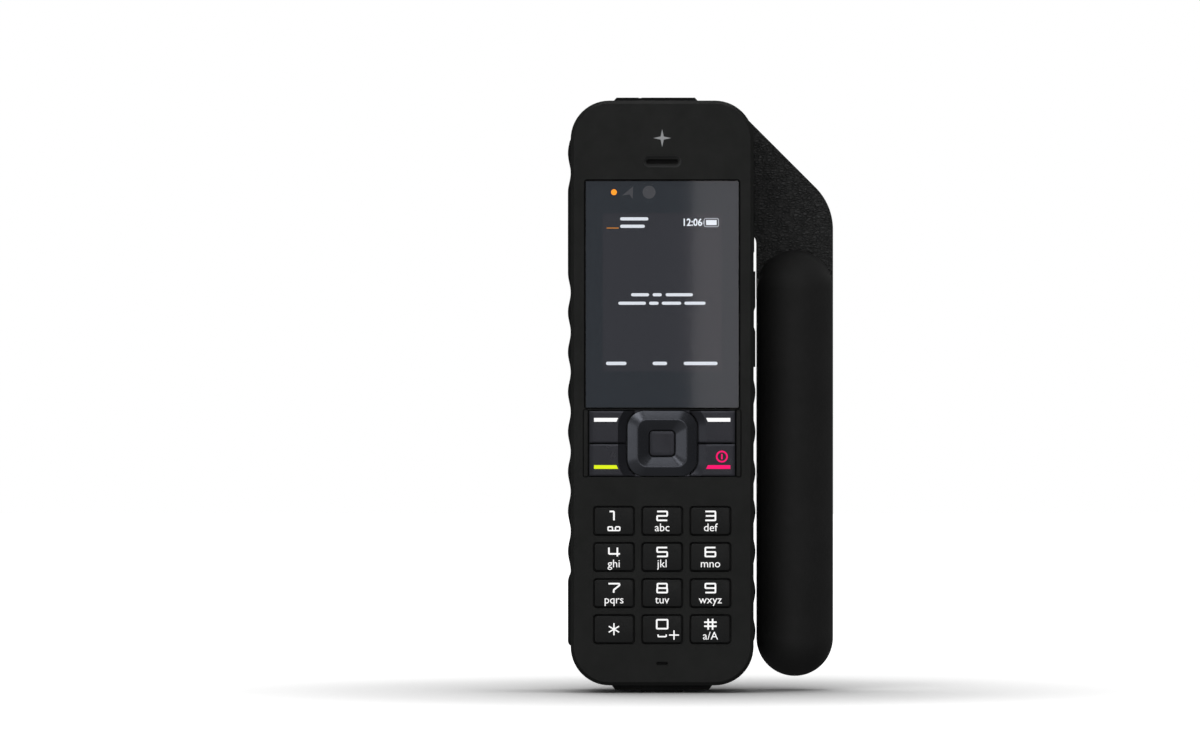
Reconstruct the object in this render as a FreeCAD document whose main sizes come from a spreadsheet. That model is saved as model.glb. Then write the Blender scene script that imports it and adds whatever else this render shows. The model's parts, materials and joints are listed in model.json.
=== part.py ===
import FreeCAD, Part
import math
import os
import re

import Sketcher

VECTOR = FreeCAD.Vector

# Satellite handset, upright. Millimetres. +Z runs up the handset, +X to the right and the front
# faces -Y. The origin is on the floor under the middle of the handset.
# Names that end in _y, _x or _z are places; the others are sizes.
DIMENSIONS = {
    "case": {
        "case_half_width": 25.93, "case_bottom_z": 2.2, "case_top_z": 167.85, "case_corner": 11.0,
        "side_wall": 2.5, "face_wall": 2.0, "inner_corner": 8.5, "face_bevel": 0.95,
        "face_y": -17.3, "split_y": -7.0, "deck_y": 6.6, "back_y": 18.0,
    },
    "seal between the two housings": {
        "seal_inset": 1.75, "seal_width": 0.4, "seal_depth": 0.3,
    },
    "display": {
        "window_half_width": 21.8, "window_bottom_z": 80.75, "window_top_z": 145.2, "window_thick": 1.1,
        "window_gap": 0.3, "window_low_gap": 0.2, "window_recess": 1.2, "window_corner": 0.6,
        "window_edge": 0.15,
        "sight_half_width": 19.0, "sight_bottom_z": 84.0, "sight_top_z": 144.0,
        "panel_half_width": 18.4, "panel_bottom_z": 88.0, "panel_top_z": 139.4, "panel_thick": 2.9,
        "panel_gap": 0.2, "panel_corner": 0.8,
        "view_half_width": 16.9, "view_bottom_z": 91.1, "view_top_z": 136.1, "view_depth": 0.1,
        "led_x": -13.65, "led_z": 141.9, "led_radius": 0.85, "led_height": 1.4,
        "led_board_thick": 0.6, "led_board_left": 2.5, "led_board_right": 12.0, "led_board_half_height": 1.9,
    },
    "earpiece and microphone": {
        "ear_z": 150.6, "ear_half_width": 5.38, "ear_radius": 1.65, "ear_recess": 0.5,
        "slot_half_width": 4.5, "slot_radius": 0.675,
        "voice_z": 8.44, "voice_half_width": 1.65, "voice_radius": 0.5,
        "mesh_thick": 0.2, "mesh_side": 0.6, "mesh_rise": 0.3,
        "receiver_half_width": 6.5, "receiver_radius": 3.0, "receiver_reach": 3.4, "receiver_edge": 0.5,
        "capsule_height": 1.1, "capsule_radius": 2.0, "capsule_hole": 0.4, "capsule_hole_depth": 0.4,
    },
    "keypad": {
        "column_pitch": 13.65, "row_pitch": 10.22, "row_first_z": 18.15,
        "key_half_width": 5.48, "key_half_height": 3.79, "key_corner": 0.8, "key_groove": 0.5,
        "key_hole_corner": 1.1,
        "key_proud": 0.2, "key_round": 0.35, "key_foot": 0.6, "foot_half_width": 6.2,
        "foot_half_height": 4.5, "foot_gap": 0.1,
        "mat_front_y": -14.1, "mat_thick": 1.0, "board_thick": 0.8, "mat_half_width": 19.8,
        "mat_bottom_z": 10.5, "mat_top_z": 81.5, "mat_corner": 2.0, "dome_radius": 2.6, "dome_depth": 0.4,
    },
    "navigation cluster": {
        "nav_z": 70.75, "nav_half_width": 20.75, "nav_half_height": 9.3, "nav_gap": 0.2, "nav_corner": 0.3,
        "function_split": 0.1, "function_inner": 7.9, "function_y": -17.4, "function_round": 0.3,
        "function_foot_inner": 10.6, "function_foot_edge": 0.5,
        "ring_half_width": 9.85, "ring_corner": 4.9, "ring_back_y": -16.6, "ring_hole": 3.8,
        "ring_hole_corner": 1.3, "ring_bevel": 0.9, "crest_y": -18.0,
        "tilt_half_width": 5.6, "tilt_front_y": -16.35, "tilt_back_y": -15.0, "tilt_corner": 1.5,
        "tilt_hole": 3.3, "tilt_hole_corner": 0.8,
        "plate_half_width": 7.7, "plate_front_y": -15.9, "plate_hole": 6.2, "plate_hole_corner": 1.5,
        "plate_corner_y": -17.25,
        "select_half_width": 3.5, "select_corner": 1.0, "select_y": -17.4, "stem_half_width": 2.8,
        "select_back_y": -16.85, "select_round": 0.3, "stem_back_y": -14.9, "stem_corner": 0.6,
        "trim_inner": 21.15, "trim_outer": 22.15, "trim_proud": 0.25,
    },
    "side grips": {
        "grip_inner": 24.6, "grip_valley": 25.93, "grip_crest": 26.7, "grip_front_y": -16.3,
        "grip_back_y": 5.0, "grip_pitch": 11.28, "valley_radius": 11.84,
        "grip_right_low_z": 14.0, "grip_right_high_z": 89.8, "valley_right_z": 23.25,
        "grip_left_low_z": 33.8, "grip_left_high_z": 157.5, "valley_left_z": 45.8,
        "valley_upper_z": 147.3, "grip_taper": 1.2,
        "pad_low_z": 13.4,
    },
    "side controls and ports": {
        "port_front_y": -6.0, "port_back_y": 4.0, "port_y": -1.5, "port_clear": 0.2,
        "rocker_low_z": 92.4, "rocker_high_z": 119.6, "rocker_end": 10.1, "rocker_crest": 26.6,
        "rocker_waist": 26.2, "rocker_inner": 24.6, "rocker_floor": 24.1, "rocker_slope": 1.2,
        "cover_length": 20.0, "cover_inner": 24.9, "cover_plug_radius": 1.1, "cover_plug": 0.8,
        "cover_end": 0.6, "cover_clear": 0.1,
        "left_cover_low_z": 121.0, "left_cover_outer": 26.7,
        "right_cover_low_z": 124.5, "right_cover_outer": 26.3,
        "audio_z": 131.0, "audio_radius": 1.75, "audio_collar": 3.0, "audio_length": 14.0,
        "audio_half_width": 3.0, "audio_wall": 1.4, "audio_clear": 0.05,
        "aerial_z": 134.5, "aerial_radius": 2.9, "aerial_bore": 2.2, "aerial_length": 7.0,
        "aerial_wall": 1.5,
    },
    "top cover and assistance button": {
        "cap_left_x": -13.9, "cap_right_x": 10.4, "cap_height": 1.15, "cap_slope": 1.0,
        "cap_front_y": -6.6, "cap_back_y": 5.4,
        "assist_x": -1.75, "assist_y": -0.8, "assist_radius": 4.0, "assist_gap": 0.15,
        "assist_low_z": 164.0, "assist_flange": 0.8, "assist_flange_high_z": 164.8,
        "assist_top_z": 167.6, "assist_round": 0.4,
        "notch_left_x": -6.6, "notch_right_x": -5.8, "notch_depth": 0.12,
    },
    "bottom cover and charging port": {
        "foot_base": 14.35, "foot_bottom": 13.2, "foot_z": 0.7, "foot_front_y": -12.0,
        "foot_back_y": 8.0, "tab_base": 6.35, "tab_bottom": 5.4, "tab_front_y": -9.0,
        "tab_back_y": 5.0,
        "usb_y": -3.45, "usb_half_width": 3.75, "usb_half_height": 1.3, "usb_top_z": 8.0,
        "usb_low_z": 2.5, "usb_wall": 0.35, "usb_gap": 0.2, "usb_plug": 0.8, "usb_plug_gap": 0.3,
        "usb_plug_half_thick": 0.5, "usb_back_wall": 0.6,
        "tongue_half_width": 1.9, "tongue_half_thick": 0.3, "tongue_recess": 1.6,
    },
    "battery bulge": {
        "bulge_half_width": 24.2, "bulge_low_z": 8.0, "bulge_high_z": 151.2, "bulge_round": 4.5,
        "shoulder_x": 4.0, "cover_y": 11.0, "cover_low_z": 20.0, "cover_high_z": 128.2,
        "cover_gap": 0.1, "cover_wall": 1.5, "bay_half_width": 19.0, "bay_low_z": 24.0,
        "bay_high_z": 126.0, "bay_corner": 2.0, "end_round": 3.0,
        "pack_half_width": 18.5, "pack_low_z": 26.6, "pack_high_z": 125.4, "pack_front_y": 6.8,
        "pack_back_y": 16.3, "pack_round": 1.5,
        "contact_half_width": 6.0, "contact_back_y": 10.6, "contact_height": 1.6,
        "blade_pitch": 2.6, "blade_half_width": 0.5, "blade_inset": 0.8, "blade_rise": 0.6,
        "latch_half_width": 7.5, "latch_low_z": 13.0, "latch_high_z": 19.4, "latch_depth": 1.5,
        "latch_travel": 3.0, "latch_clear": 0.2,
        "rib_inset": 2.0, "rib_start": 1.2, "rib_pitch": 1.6, "rib_height": 0.8, "rib_depth": 0.5,
    },
    "card and its holder": {
        "card_half_width": 7.5, "card_low_z": 62.0, "card_high_z": 87.0, "card_front_y": 5.2,
        "card_back_y": 5.96, "card_cut": 3.0, "card_bay_half_width": 9.0, "card_bay_low_z": 61.0,
        "card_bay_high_z": 100.0, "holder_front_y": 5.1, "holder_back_y": 6.4, "holder_gap": 0.05,
        "strap_low_z": 66.0, "strap_high_z": 74.0,
    },
    "boards and parts on them": {
        "main_front_y": -5.8, "main_back_y": -4.8, "main_half_width": 22.4, "main_low_z": 6.0,
        "main_high_z": 161.5, "main_corner": 7.0, "can_height": 2.2,
        "logic_left_x": -17.0, "logic_right_x": 4.0, "logic_low_z": 36.0, "logic_high_z": 74.0,
        "power_left_x": 7.0, "power_right_x": 17.0, "power_low_z": 40.0, "power_high_z": 66.0,
        "radio_left_x": -17.0, "radio_right_x": 15.0, "radio_low_z": 92.0, "radio_high_z": 118.0,
        "speaker_x": -8.5, "speaker_z": 139.4, "speaker_radius": 7.5, "speaker_front_y": 11.4,
        "speaker_edge": 1.0, "speaker_rim": 1.2, "speaker_dish": 0.8,
        "chamber_low_z": 130.6, "chamber_high_z": 149.0, "chamber_left_x": -20.0,
        "chamber_back_y": 16.0, "chamber_cut": 3.2, "grille_pitch": 2.4, "grille_slot": 0.5,
        "grille_half_length": 5.0,
        "patch_left_x": -15.0, "patch_low_z": 148.0, "patch_size": 12.0, "patch_thick": 3.5,
        "patch_edge": 0.4,
    },
    "screws": {
        "screw_x": 21.75, "screw_low_z": 32.0, "screw_mid_z": 86.0, "screw_shank": 1.0,
        "screw_head": 1.8, "screw_head_height": 1.7, "screw_seat_y": 4.2, "screw_tip_y": -12.0,
        "screw_clear": 0.1, "screw_well": 2.0, "screw_spare": 0.5,
        "drive_half_width": 0.25, "drive_half_length": 1.2, "drive_depth": 0.7,
        "boss_front": 1.65, "boss_rear": 2.6,
        "screw_top_x": -19.5, "screw_top_z": 158.0, "screw_port_x": 21.0, "screw_port_z": 147.2,
        "boss_clear": 0.3,
    },
    "antenna": {
        "pivot_x": 15.1, "pivot_z": 156.9, "arm_half_width": 11.2, "arm_front_y": 7.0,
        "arm_face": 1.4, "arm_round": 8.5, "elbow_outer": 16.9, "elbow_inner": 3.0,
        "rod_x": 38.08, "rod_y": 7.0, "rod_radius": 10.97, "rod_wall": 1.5, "rod_low_z": 4.05,
        "rod_high_z": 125.9, "arm_low_z": 112.0,
        "shaft_radius": 4.0, "shaft_low_y": 1.5, "shaft_high_y": 12.0, "shaft_flange": 5.5,
        "shaft_flange_y": 0.3, "shaft_bore": 2.0, "bush_radius": 6.0, "bush_clear": 0.05,
        "bush_low_y": 1.8, "bush_flange": 7.4, "bush_flange_y": 6.9, "hub_boss": 8.5,
        "former_radius": 7.5, "former_wall": 0.8, "former_low_z": 18.0, "former_high_z": 106.0,
        "former_slot": 1.2, "former_end": 8.0,
        "channel_half_width": 3.0, "channel_near": 1.5, "channel_far": 4.5, "channel_turn": 5.0,
        "channel_rise": 2.0, "channel_spare": 0.5,
        "coax_radius": 0.9, "coax_y": 10.4, "coax_start": 4.6, "coax_bend": 6.0,
    },
    "how far a cut runs on past the material": {
        "past": 1.0,
    },
}

KEY_NAMES = (
    ("key_star", "key_0", "key_hash"),
    ("key_7", "key_8", "key_9"),
    ("key_4", "key_5", "key_6"),
    ("key_1", "key_2", "key_3"),
)

doc = FreeCAD.newDocument("satellite_phone")
parts = []


# ---------------------------------------------------------------- the dimension sheet

def write_sheet():
    """Fill the spreadsheet: a name, a value and a group on each row."""
    sheet = doc.addObject("Spreadsheet::Sheet", "dims")
    row = 0
    for group, sizes in DIMENSIONS.items():
        for name, value in sizes.items():
            row += 1
            sheet.set(f"A{row}", name)
            sheet.set(f"B{row}", str(value))
            sheet.set(f"C{row}", group)
            sheet.setAlias(f"B{row}", name)
    doc.recompute()
    return sheet


dims = write_sheet()
ALIASES = {name for sizes in DIMENSIONS.values() for name in sizes}


def bound(expression):
    """The expression with every dimension name pointed at the sheet."""
    def point(word):
        return f"dims.{word[0]}" if word[0] in ALIASES else word[0]
    return re.sub(r"[a-z_]+", point, str(expression))


def size(expression):
    """The number an expression of dimension names gives now."""
    return float(dims.evalExpression(str(expression)))


# ---------------------------------------------------------------- outlines

def rectangle(left, right, low, high):
    return [(left, low), (right, low), (right, high), (left, high)]


def rounded(left, right, low, high, radius):
    """A rectangle with quarter-circle corners, drawn anticlockwise."""
    left, right, low, high, radius = (f"({name})" for name in (left, right, low, high, radius))
    return [
        (f"{left} + {radius}", low), (f"{right} - {radius}", low, radius, 1),
        (right, f"{low} + {radius}"), (right, f"{high} - {radius}", radius, 1),
        (f"{right} - {radius}", high), (f"{left} + {radius}", high, radius, 1),
        (left, f"{high} - {radius}"), (left, f"{low} + {radius}", radius, 1),
    ]


def slot(centre, middle, half_width, radius):
    """A slot with round ends; half_width reaches to the ends."""
    left = f"{centre} - ({half_width}) + ({radius})"
    right = f"{centre} + ({half_width}) - ({radius})"
    low, high = f"({middle}) - ({radius})", f"({middle}) + ({radius})"
    return [(left, low), (right, low, radius, 1), (right, high), (left, high, radius, 1)]


def circle(across, up, radius):
    return ("circle", across, up, radius)


def arc_centre(start, end, radius, turn):
    """Centre of the minor arc from start to end; turn is 1 for anticlockwise."""
    chord = end - start
    middle = (start + end) * 0.5
    reach = math.sqrt(max(radius ** 2 - (chord.Length / 2) ** 2, 0.0))
    across = VECTOR(-chord.y, chord.x, 0) * (turn / chord.Length)
    return middle + across * reach


class Drawing:
    """Gathers a sketch's edges and its rules, each rule bound to an expression of the sheet."""

    def __init__(self, sketch):
        self.sketch = sketch
        self.edges = []
        self.rules = []

    def edge(self, shape):
        self.edges.append(shape)
        return len(self.edges) - 1

    def hold(self, kind, edge, point, expression):
        """Place one point of an edge along one axis of the sketch."""
        self.rules.append((Sketcher.Constraint(kind, -1, 1, edge, point, size(expression)), expression))

    def radius(self, edge, expression):
        self.rules.append((Sketcher.Constraint("Radius", edge, size(expression)), expression))

    def join(self, *ends):
        self.rules.append((Sketcher.Constraint("Coincident", *ends), None))

    def finish(self):
        self.sketch.addGeometry(self.edges)
        self.sketch.addConstraint([rule for rule, _ in self.rules])
        for number, (_, expression) in enumerate(self.rules):
            if expression is not None:
                self.sketch.setExpression(f"Constraints[{number}]", bound(expression))


def draw_circle(drawing, outline):
    _, across, up, radius = outline
    centre = VECTOR(size(across), size(up), 0)
    edge = drawing.edge(Part.Circle(centre, VECTOR(0, 0, 1), size(radius)))
    drawing.hold("DistanceX", edge, 3, across)
    drawing.hold("DistanceY", edge, 3, up)
    drawing.radius(edge, radius)


def draw_outline(drawing, outline):
    """Draw a closed outline and bind every corner and every radius to the sheet."""
    if outline[0] == "circle":
        draw_circle(drawing, outline)
        return
    count = len(outline)
    corners = [VECTOR(size(corner[0]), size(corner[1]), 0) for corner in outline]
    edges = []
    for index, corner in enumerate(outline):
        start = corners[index]
        end = corners[(index + 1) % count]
        edges.append(drawing.edge(Part.LineSegment(start, end) if len(corner) == 2 else
                                  arc_between(start, end, size(corner[2]), corner[3])))
    for index, corner in enumerate(outline):
        before = (index - 1) % count
        first = start_tip(corner)
        drawing.join(edges[before], 3 - start_tip(outline[before]), edges[index], first)
        drawing.hold("DistanceX", edges[index], first, corner[0])
        drawing.hold("DistanceY", edges[index], first, corner[1])
        if len(corner) > 2:
            hold_arc(drawing, edges[index], corner, outline[(index + 1) % count],
                     corners[(index + 1) % count] - corners[index])


def start_tip(corner):
    """An arc drawn clockwise is stored the other way round, so its start is its second end."""
    return 2 if len(corner) > 2 and corner[3] < 0 else 1


def arc_between(start, end, radius, turn):
    centre = arc_centre(start, end, radius, turn)
    ring = Part.Circle(centre, VECTOR(0, 0, 1), (start - centre).Length)
    first, last = (start, end) if turn > 0 else (end, start)
    angles = [math.atan2(tip.y - centre.y, tip.x - centre.x) for tip in (first, last)]
    if angles[1] < angles[0]:
        angles[1] += 2 * math.pi
    return Part.ArcOfCircle(ring, *angles)


def hold_arc(drawing, edge, corner, after, chord):
    """A half circle is held by its centre, any other arc by its radius."""
    if abs(chord.Length - 2 * size(corner[2])) > 1e-6:
        drawing.radius(edge, corner[2])
    elif abs(chord.x) < abs(chord.y):
        drawing.hold("DistanceX", edge, 3, f"({corner[0]} + {after[0]}) / 2")
    else:
        drawing.hold("DistanceY", edge, 3, f"({corner[1]} + {after[1]}) / 2")


# ---------------------------------------------------------------- features

PLANES = {"x": "YZ_Plane", "y": "XZ_Plane", "z": "XY_Plane"}


def new_body(label):
    """A sub-part made of sketched features, listed for export."""
    body = doc.addObject("PartDesign::Body", label)
    body.Label = label
    parts.append(body)
    return body


def sketch_on(body, along, level, outlines):
    """A sketch square to the axis named by along, at a level on that axis."""
    plane = next(item for item in body.Origin.OriginFeatures if item.Role == PLANES[along])
    sketch = body.newObject("Sketcher::SketchObject", f"{body.Label}_sketch")
    sketch.AttachmentSupport = [(plane, "")]
    sketch.MapMode = "FlatFace"
    sign = "-" if along == "y" else ""
    sketch.setExpression("AttachmentOffset.Base.z", bound(f"{sign}({level})"))
    drawing = Drawing(sketch)
    for outline in outlines:
        draw_outline(drawing, outline)
    drawing.finish()
    return sketch


def pad(body, along, low, high, *outlines):
    """Add material from low to high along an axis. The y plane's normal points to -Y."""
    sketch = sketch_on(body, along, high if along == "y" else low, outlines)
    feature = body.newObject("PartDesign::Pad", f"{body.Label}_pad")
    feature.Profile = sketch
    feature.setExpression("Length", bound(f"({high}) - ({low})"))
    return feature


def pocket(body, along, low, high, *outlines):
    """Remove material from low to high along an axis, and prove that some went."""
    doc.recompute()
    before = body.Shape.Volume
    sketch = sketch_on(body, along, low if along == "y" else high, outlines)
    feature = body.newObject("PartDesign::Pocket", f"{body.Label}_pocket")
    feature.Profile = sketch
    feature.setExpression("Length", bound(f"({high}) - ({low})"))
    doc.recompute()
    if body.Shape.Volume > before - 1e-3:
        raise ValueError(f"{body.Label}: a pocket from {low} to {high} cuts nothing")
    return feature


def repeat(body, feature, along, count, pitch):
    """Repeat a feature along an axis of the body's origin."""
    roles = {"x": "X_Axis", "z": "Z_Axis"}
    axis = next(item for item in body.Origin.OriginFeatures if item.Role == roles[along])
    pattern = body.newObject("PartDesign::LinearPattern", f"{body.Label}_pattern")
    pattern.Originals = [feature]
    pattern.Direction = (axis, [""])
    pattern.Mode = "Spacing"
    pattern.setExpression("Offset", bound(pitch))
    pattern.Occurrences = count
    body.Tip = pattern
    doc.recompute()
    return pattern


def dress(body, kind, amount, wanted):
    """Fillet or chamfer the edges of a body that the test named wanted picks."""
    doc.recompute()
    base = body.Tip
    names = [f"Edge{number}" for number, edge in enumerate(base.Shape.Edges, 1) if wanted(edge.BoundBox)]
    if not names:
        raise ValueError(f"{body.Label}: no edge to dress")
    feature = body.newObject(f"PartDesign::{kind}", f"{body.Label}_{kind.lower()}")
    feature.Base = (base, names)
    feature.setExpression("Radius" if kind == "Fillet" else "Size", bound(amount))
    doc.recompute()
    return feature


def at_y(expression):
    """Picks edges that lie in one plane square to Y."""
    level = size(expression)
    return lambda box: abs(box.YMin - level) < 1e-4 and abs(box.YMax - level) < 1e-4


def at_z(expression):
    level = size(expression)
    return lambda box: abs(box.ZMin - level) < 1e-4 and abs(box.ZMax - level) < 1e-4


def both(first, second):
    return lambda box: first(box) and second(box)


def inside(left, right, low, high):
    """Picks edges inside a window of the front view."""
    edges = (size(left) - 1e-4, size(right) + 1e-4, size(low) - 1e-4, size(high) + 1e-4)
    return lambda box: (box.XMin > edges[0] and box.XMax < edges[1]
                        and box.ZMin > edges[2] and box.ZMax < edges[3])


def solid(kind, label, **sizes):
    """A Part primitive with its sizes bound to the sheet."""
    item = doc.addObject(f"Part::{kind}", label)
    for name, expression in sizes.items():
        item.setExpression(name, bound(expression))
    return item


def place(item, across, depth, up, axis=None):
    """Move an item, and turn its +Z to point along the axis given."""
    turns = {"x": (VECTOR(0, 1, 0), 90), "y": (VECTOR(1, 0, 0), -90)}
    if axis:
        item.Placement = FreeCAD.Placement(VECTOR(), FreeCAD.Rotation(*turns[axis]))
    for name, expression in zip("xyz", (across, depth, up)):
        item.setExpression(f"Placement.Base.{name}", bound(expression))
    return item


def box(label, left, right, front, back, low, high):
    item = solid("Box", label, Length=f"({right}) - ({left})", Width=f"({back}) - ({front})",
                 Height=f"({high}) - ({low})")
    return place(item, left, front, low)


def rod(label, axis, centre, low, high, radius):
    """A cylinder along an axis; centre gives its place on the other two axes."""
    item = solid("Cylinder", label, Radius=radius, Height=f"({high}) - ({low})")
    if axis == "x":
        return place(item, low, *centre, axis="x")
    if axis == "y":
        return place(item, centre[0], low, centre[1], axis="y")
    return place(item, *centre, low)


def fuse(label, *items):
    whole = doc.addObject("Part::MultiFuse", label)
    whole.Shapes = list(items)
    return whole


def cut(label, base, *tools):
    whole = doc.addObject("Part::Cut", label)
    whole.Base = base
    whole.Tool = tools[0] if len(tools) == 1 else fuse(f"{label}_tool", *tools)
    return whole


def keep(item):
    """List a finished sub-part for export."""
    item.Label = item.Name
    parts.append(item)
    return item


# ---------------------------------------------------------------- places used by several sub-parts

def key_places():
    """Name and centre of each of the twelve keys."""
    for row, names in enumerate(KEY_NAMES):
        for column, name in enumerate(names):
            yield name, f"{column - 1} * column_pitch", f"row_first_z + {row} * row_pitch"


def screw_places():
    return (
        ("-screw_x", "screw_low_z"), ("screw_x", "screw_low_z"),
        ("-screw_x", "screw_mid_z"), ("screw_x", "screw_mid_z"),
        ("screw_top_x", "screw_top_z"), ("screw_port_x", "screw_port_z"),
    )


def case_outline(inset="0", corner="case_corner"):
    return rounded(f"-(case_half_width - {inset})", f"case_half_width - {inset}",
                   f"case_bottom_z + {inset}", f"case_top_z - {inset}", corner)


def cavity_outline():
    return case_outline("side_wall", "inner_corner")


def seal_outlines():
    return [case_outline(inset, f"case_corner - {inset}")
            for inset in ("seal_inset", "(seal_inset + seal_width)")]


def grip_recess(side):
    """The strip of the case side that a grip fills, and on the left the pad under it."""
    if side == "right":
        return rectangle("grip_inner", "grip_crest + past", "grip_right_low_z", "grip_right_high_z")
    return rectangle("-(grip_crest + past)", "-grip_inner", "pad_low_z", "grip_left_high_z")


def ring_outline(extra):
    half = f"(ring_half_width + {extra})"
    rise = f"(nav_half_height + {extra})"
    return rounded(f"-{half}", half, f"nav_z - {rise}", f"nav_z + {rise}", f"(ring_corner + {extra})")


def square(half, corner):
    return rounded(f"-({half})", half, f"nav_z - ({half})", f"nav_z + {half}", corner)


# ---------------------------------------------------------------- housings

def front_housing():
    body = new_body("front_housing")
    pad(body, "y", "face_y", "split_y", case_outline())
    dress(body, "Chamfer", "face_bevel", at_y("face_y"))
    pocket(body, "y", "face_y + face_wall", "split_y", cavity_outline())
    for across, up in screw_places():
        pad(body, "y", "face_y + face_wall", "split_y", circle(across, up, "boss_front"))
    window = "window_half_width + window_gap"
    pocket(body, "y", "face_y", "face_y + window_recess",
           rounded(f"-({window})", window, "window_bottom_z - window_low_gap",
                   "window_top_z + window_gap", "window_corner + window_gap"))
    pocket(body, "y", "face_y", "face_y + face_wall",
           rectangle("-sight_half_width", "sight_half_width", "sight_bottom_z", "sight_top_z"),
           rounded("-(nav_half_width + nav_gap)", "nav_half_width + nav_gap",
                   "nav_z - nav_half_height - nav_gap", "nav_z + nav_half_height + nav_gap", "nav_corner"),
           slot("0", "ear_z", "slot_half_width", "slot_radius"),
           slot("0", "voice_z", "voice_half_width", "voice_radius"))
    key_holes(body)
    pocket(body, "y", "face_y", "face_y + ear_recess", slot("0", "ear_z", "ear_half_width", "ear_radius"))
    for side in ("-", ""):
        left, right = ("-trim_outer", "-trim_inner") if side else ("trim_inner", "trim_outer")
        pad(body, "y", "face_y - trim_proud", "face_y",
            rectangle(left, right, "nav_z - nav_half_height", "nav_z + nav_half_height"))
    pocket(body, "y", "grip_front_y", "split_y", grip_recess("left"), grip_recess("right"))
    pocket(body, "y", "split_y - seal_depth", "split_y", *seal_outlines())
    pocket(body, "y", "screw_tip_y - screw_spare", "split_y",
           *[circle(across, up, "screw_shank") for across, up in screw_places()])


def key_holes(body):
    """A hole for the lowest key of each column, repeated up the column."""
    wide = "(key_half_width + key_groove)"
    tall = "(key_half_height + key_groove)"
    for column in (-1, 0, 1):
        across = f"{column} * column_pitch"
        first = pocket(body, "y", "face_y", "face_y + face_wall",
                       rounded(f"{across} - {wide}", f"{across} + {wide}", f"row_first_z - {tall}",
                               f"row_first_z + {tall}", "key_hole_corner"))
        repeat(body, first, "z", len(KEY_NAMES), "row_pitch")


def rear_housing():
    body = new_body("rear_housing")
    pad(body, "y", "split_y", "deck_y", case_outline())
    pocket(body, "y", "split_y", "deck_y - face_wall", cavity_outline())
    pad(body, "z", "bulge_low_z", "bulge_high_z", bulge_section("bulge_half_width", "back_y", "bulge_round"))
    pocket(body, "x", "-bulge_half_width - past", "bulge_half_width + past",
           rectangle("cover_y", "back_y + past", "cover_low_z", "cover_high_z"))
    pocket(body, "y", "deck_y", "back_y + past", swing_clearance())
    dress(body, "Fillet", "end_round", both(at_z("bulge_low_z"), lambda box: box.YMin > size("deck_y + past")))
    for across, up in screw_places():
        pad(body, "y", "split_y", "deck_y - face_wall", circle(across, up, "boss_rear"))
    pad(body, "y", "bush_low_y", "deck_y - face_wall", circle("pivot_x", "pivot_z", "hub_boss"))
    pocket(body, "y", "deck_y", "cover_y",
           rounded("-bay_half_width", "bay_half_width", "bay_low_z", "bay_high_z", "bay_corner"))
    pocket(body, "y", "holder_front_y", "deck_y",
           rectangle("-card_bay_half_width", "card_bay_half_width", "card_bay_low_z", "card_bay_high_z"))
    pocket(body, "y", "deck_y - face_wall", "chamber_back_y", chamber_outline())
    grille(body)
    pocket(body, "y", "back_y - latch_depth", "back_y",
           rectangle("-(latch_half_width + latch_clear)", "latch_half_width + latch_clear",
                     "latch_low_z - latch_travel - latch_clear", "cover_low_z"))
    pocket(body, "y", "bush_low_y", "deck_y", circle("pivot_x", "pivot_z", "bush_radius"))
    pocket(body, "y", "split_y", "grip_back_y", grip_recess("left"), grip_recess("right"))
    side_openings(body)
    pocket(body, "z", "assist_flange_high_z", "case_top_z",
           circle("assist_x", "assist_y", "assist_radius + assist_gap"))
    usb_wide = "(usb_half_width + usb_gap)"
    pocket(body, "z", "case_bottom_z", "case_bottom_z + side_wall",
           rectangle(f"-{usb_wide}", usb_wide, "usb_y - usb_half_height - usb_gap",
                     "usb_y + usb_half_height + usb_gap"))
    pocket(body, "y", "split_y", "split_y + seal_depth", *seal_outlines())
    pocket(body, "y", "split_y", "screw_seat_y",
           *[circle(across, up, "screw_shank + screw_clear") for across, up in screw_places()])
    pocket(body, "y", "screw_seat_y", "cover_y",
           *[circle(across, up, "screw_well") for across, up in screw_places()])


def bulge_section(half, back, radius):
    """Section of the battery bulge, with its two back corners rounded."""
    half, back, radius = f"({half})", f"({back})", f"({radius})"
    return [
        (f"-{half}", "deck_y"), (half, "deck_y"),
        (half, f"{back} - {radius}", radius, 1), (f"{half} - {radius}", back),
        (f"-{half} + {radius}", back, radius, 1), (f"-{half}", f"{back} - {radius}"),
    ]


def swing_clearance():
    """The corner that the antenna arm sweeps: everything past a 45 degree line."""
    return [("shoulder_x", "bulge_high_z"),
            ("bulge_half_width + past", "bulge_high_z - (bulge_half_width + past - shoulder_x)"),
            ("bulge_half_width + past", "bulge_high_z + past"), ("shoulder_x", "bulge_high_z + past")]


def chamber_outline():
    """The loudspeaker's chamber inside the shoulder."""
    return [("chamber_left_x", "chamber_low_z"), ("bulge_half_width - chamber_cut", "chamber_low_z"),
            ("shoulder_x - chamber_cut / 2", "chamber_high_z"), ("chamber_left_x", "chamber_high_z")]


def grille(body):
    """Five slots over the loudspeaker."""
    first = pocket(body, "y", "chamber_back_y", "back_y",
                   slot("speaker_x", "speaker_z - 2 * grille_pitch", "grille_half_length", "grille_slot"))
    repeat(body, first, "z", 5, "grille_pitch")


def side_openings(body):
    """Openings for the rocker and for the sockets behind the side covers."""
    front = "port_front_y - port_clear"
    back = "port_back_y + port_clear"
    high = "right_cover_low_z + cover_length"
    pocket(body, "x", "rocker_floor", "case_half_width",
           rectangle(front, back, "rocker_low_z - port_clear", "rocker_high_z + port_clear"))
    pocket(body, "x", "cover_inner - cover_clear", "case_half_width",
           rectangle(front, back, "right_cover_low_z - port_clear / 2", f"{high} + port_clear / 2"))
    pocket(body, "x", "case_half_width - side_wall", "case_half_width",
           circle("port_y", "aerial_z", "aerial_radius"))
    pocket(body, "x", "-case_half_width", "-(case_half_width - side_wall)",
           circle("port_y", "audio_z", "audio_collar"))


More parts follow.
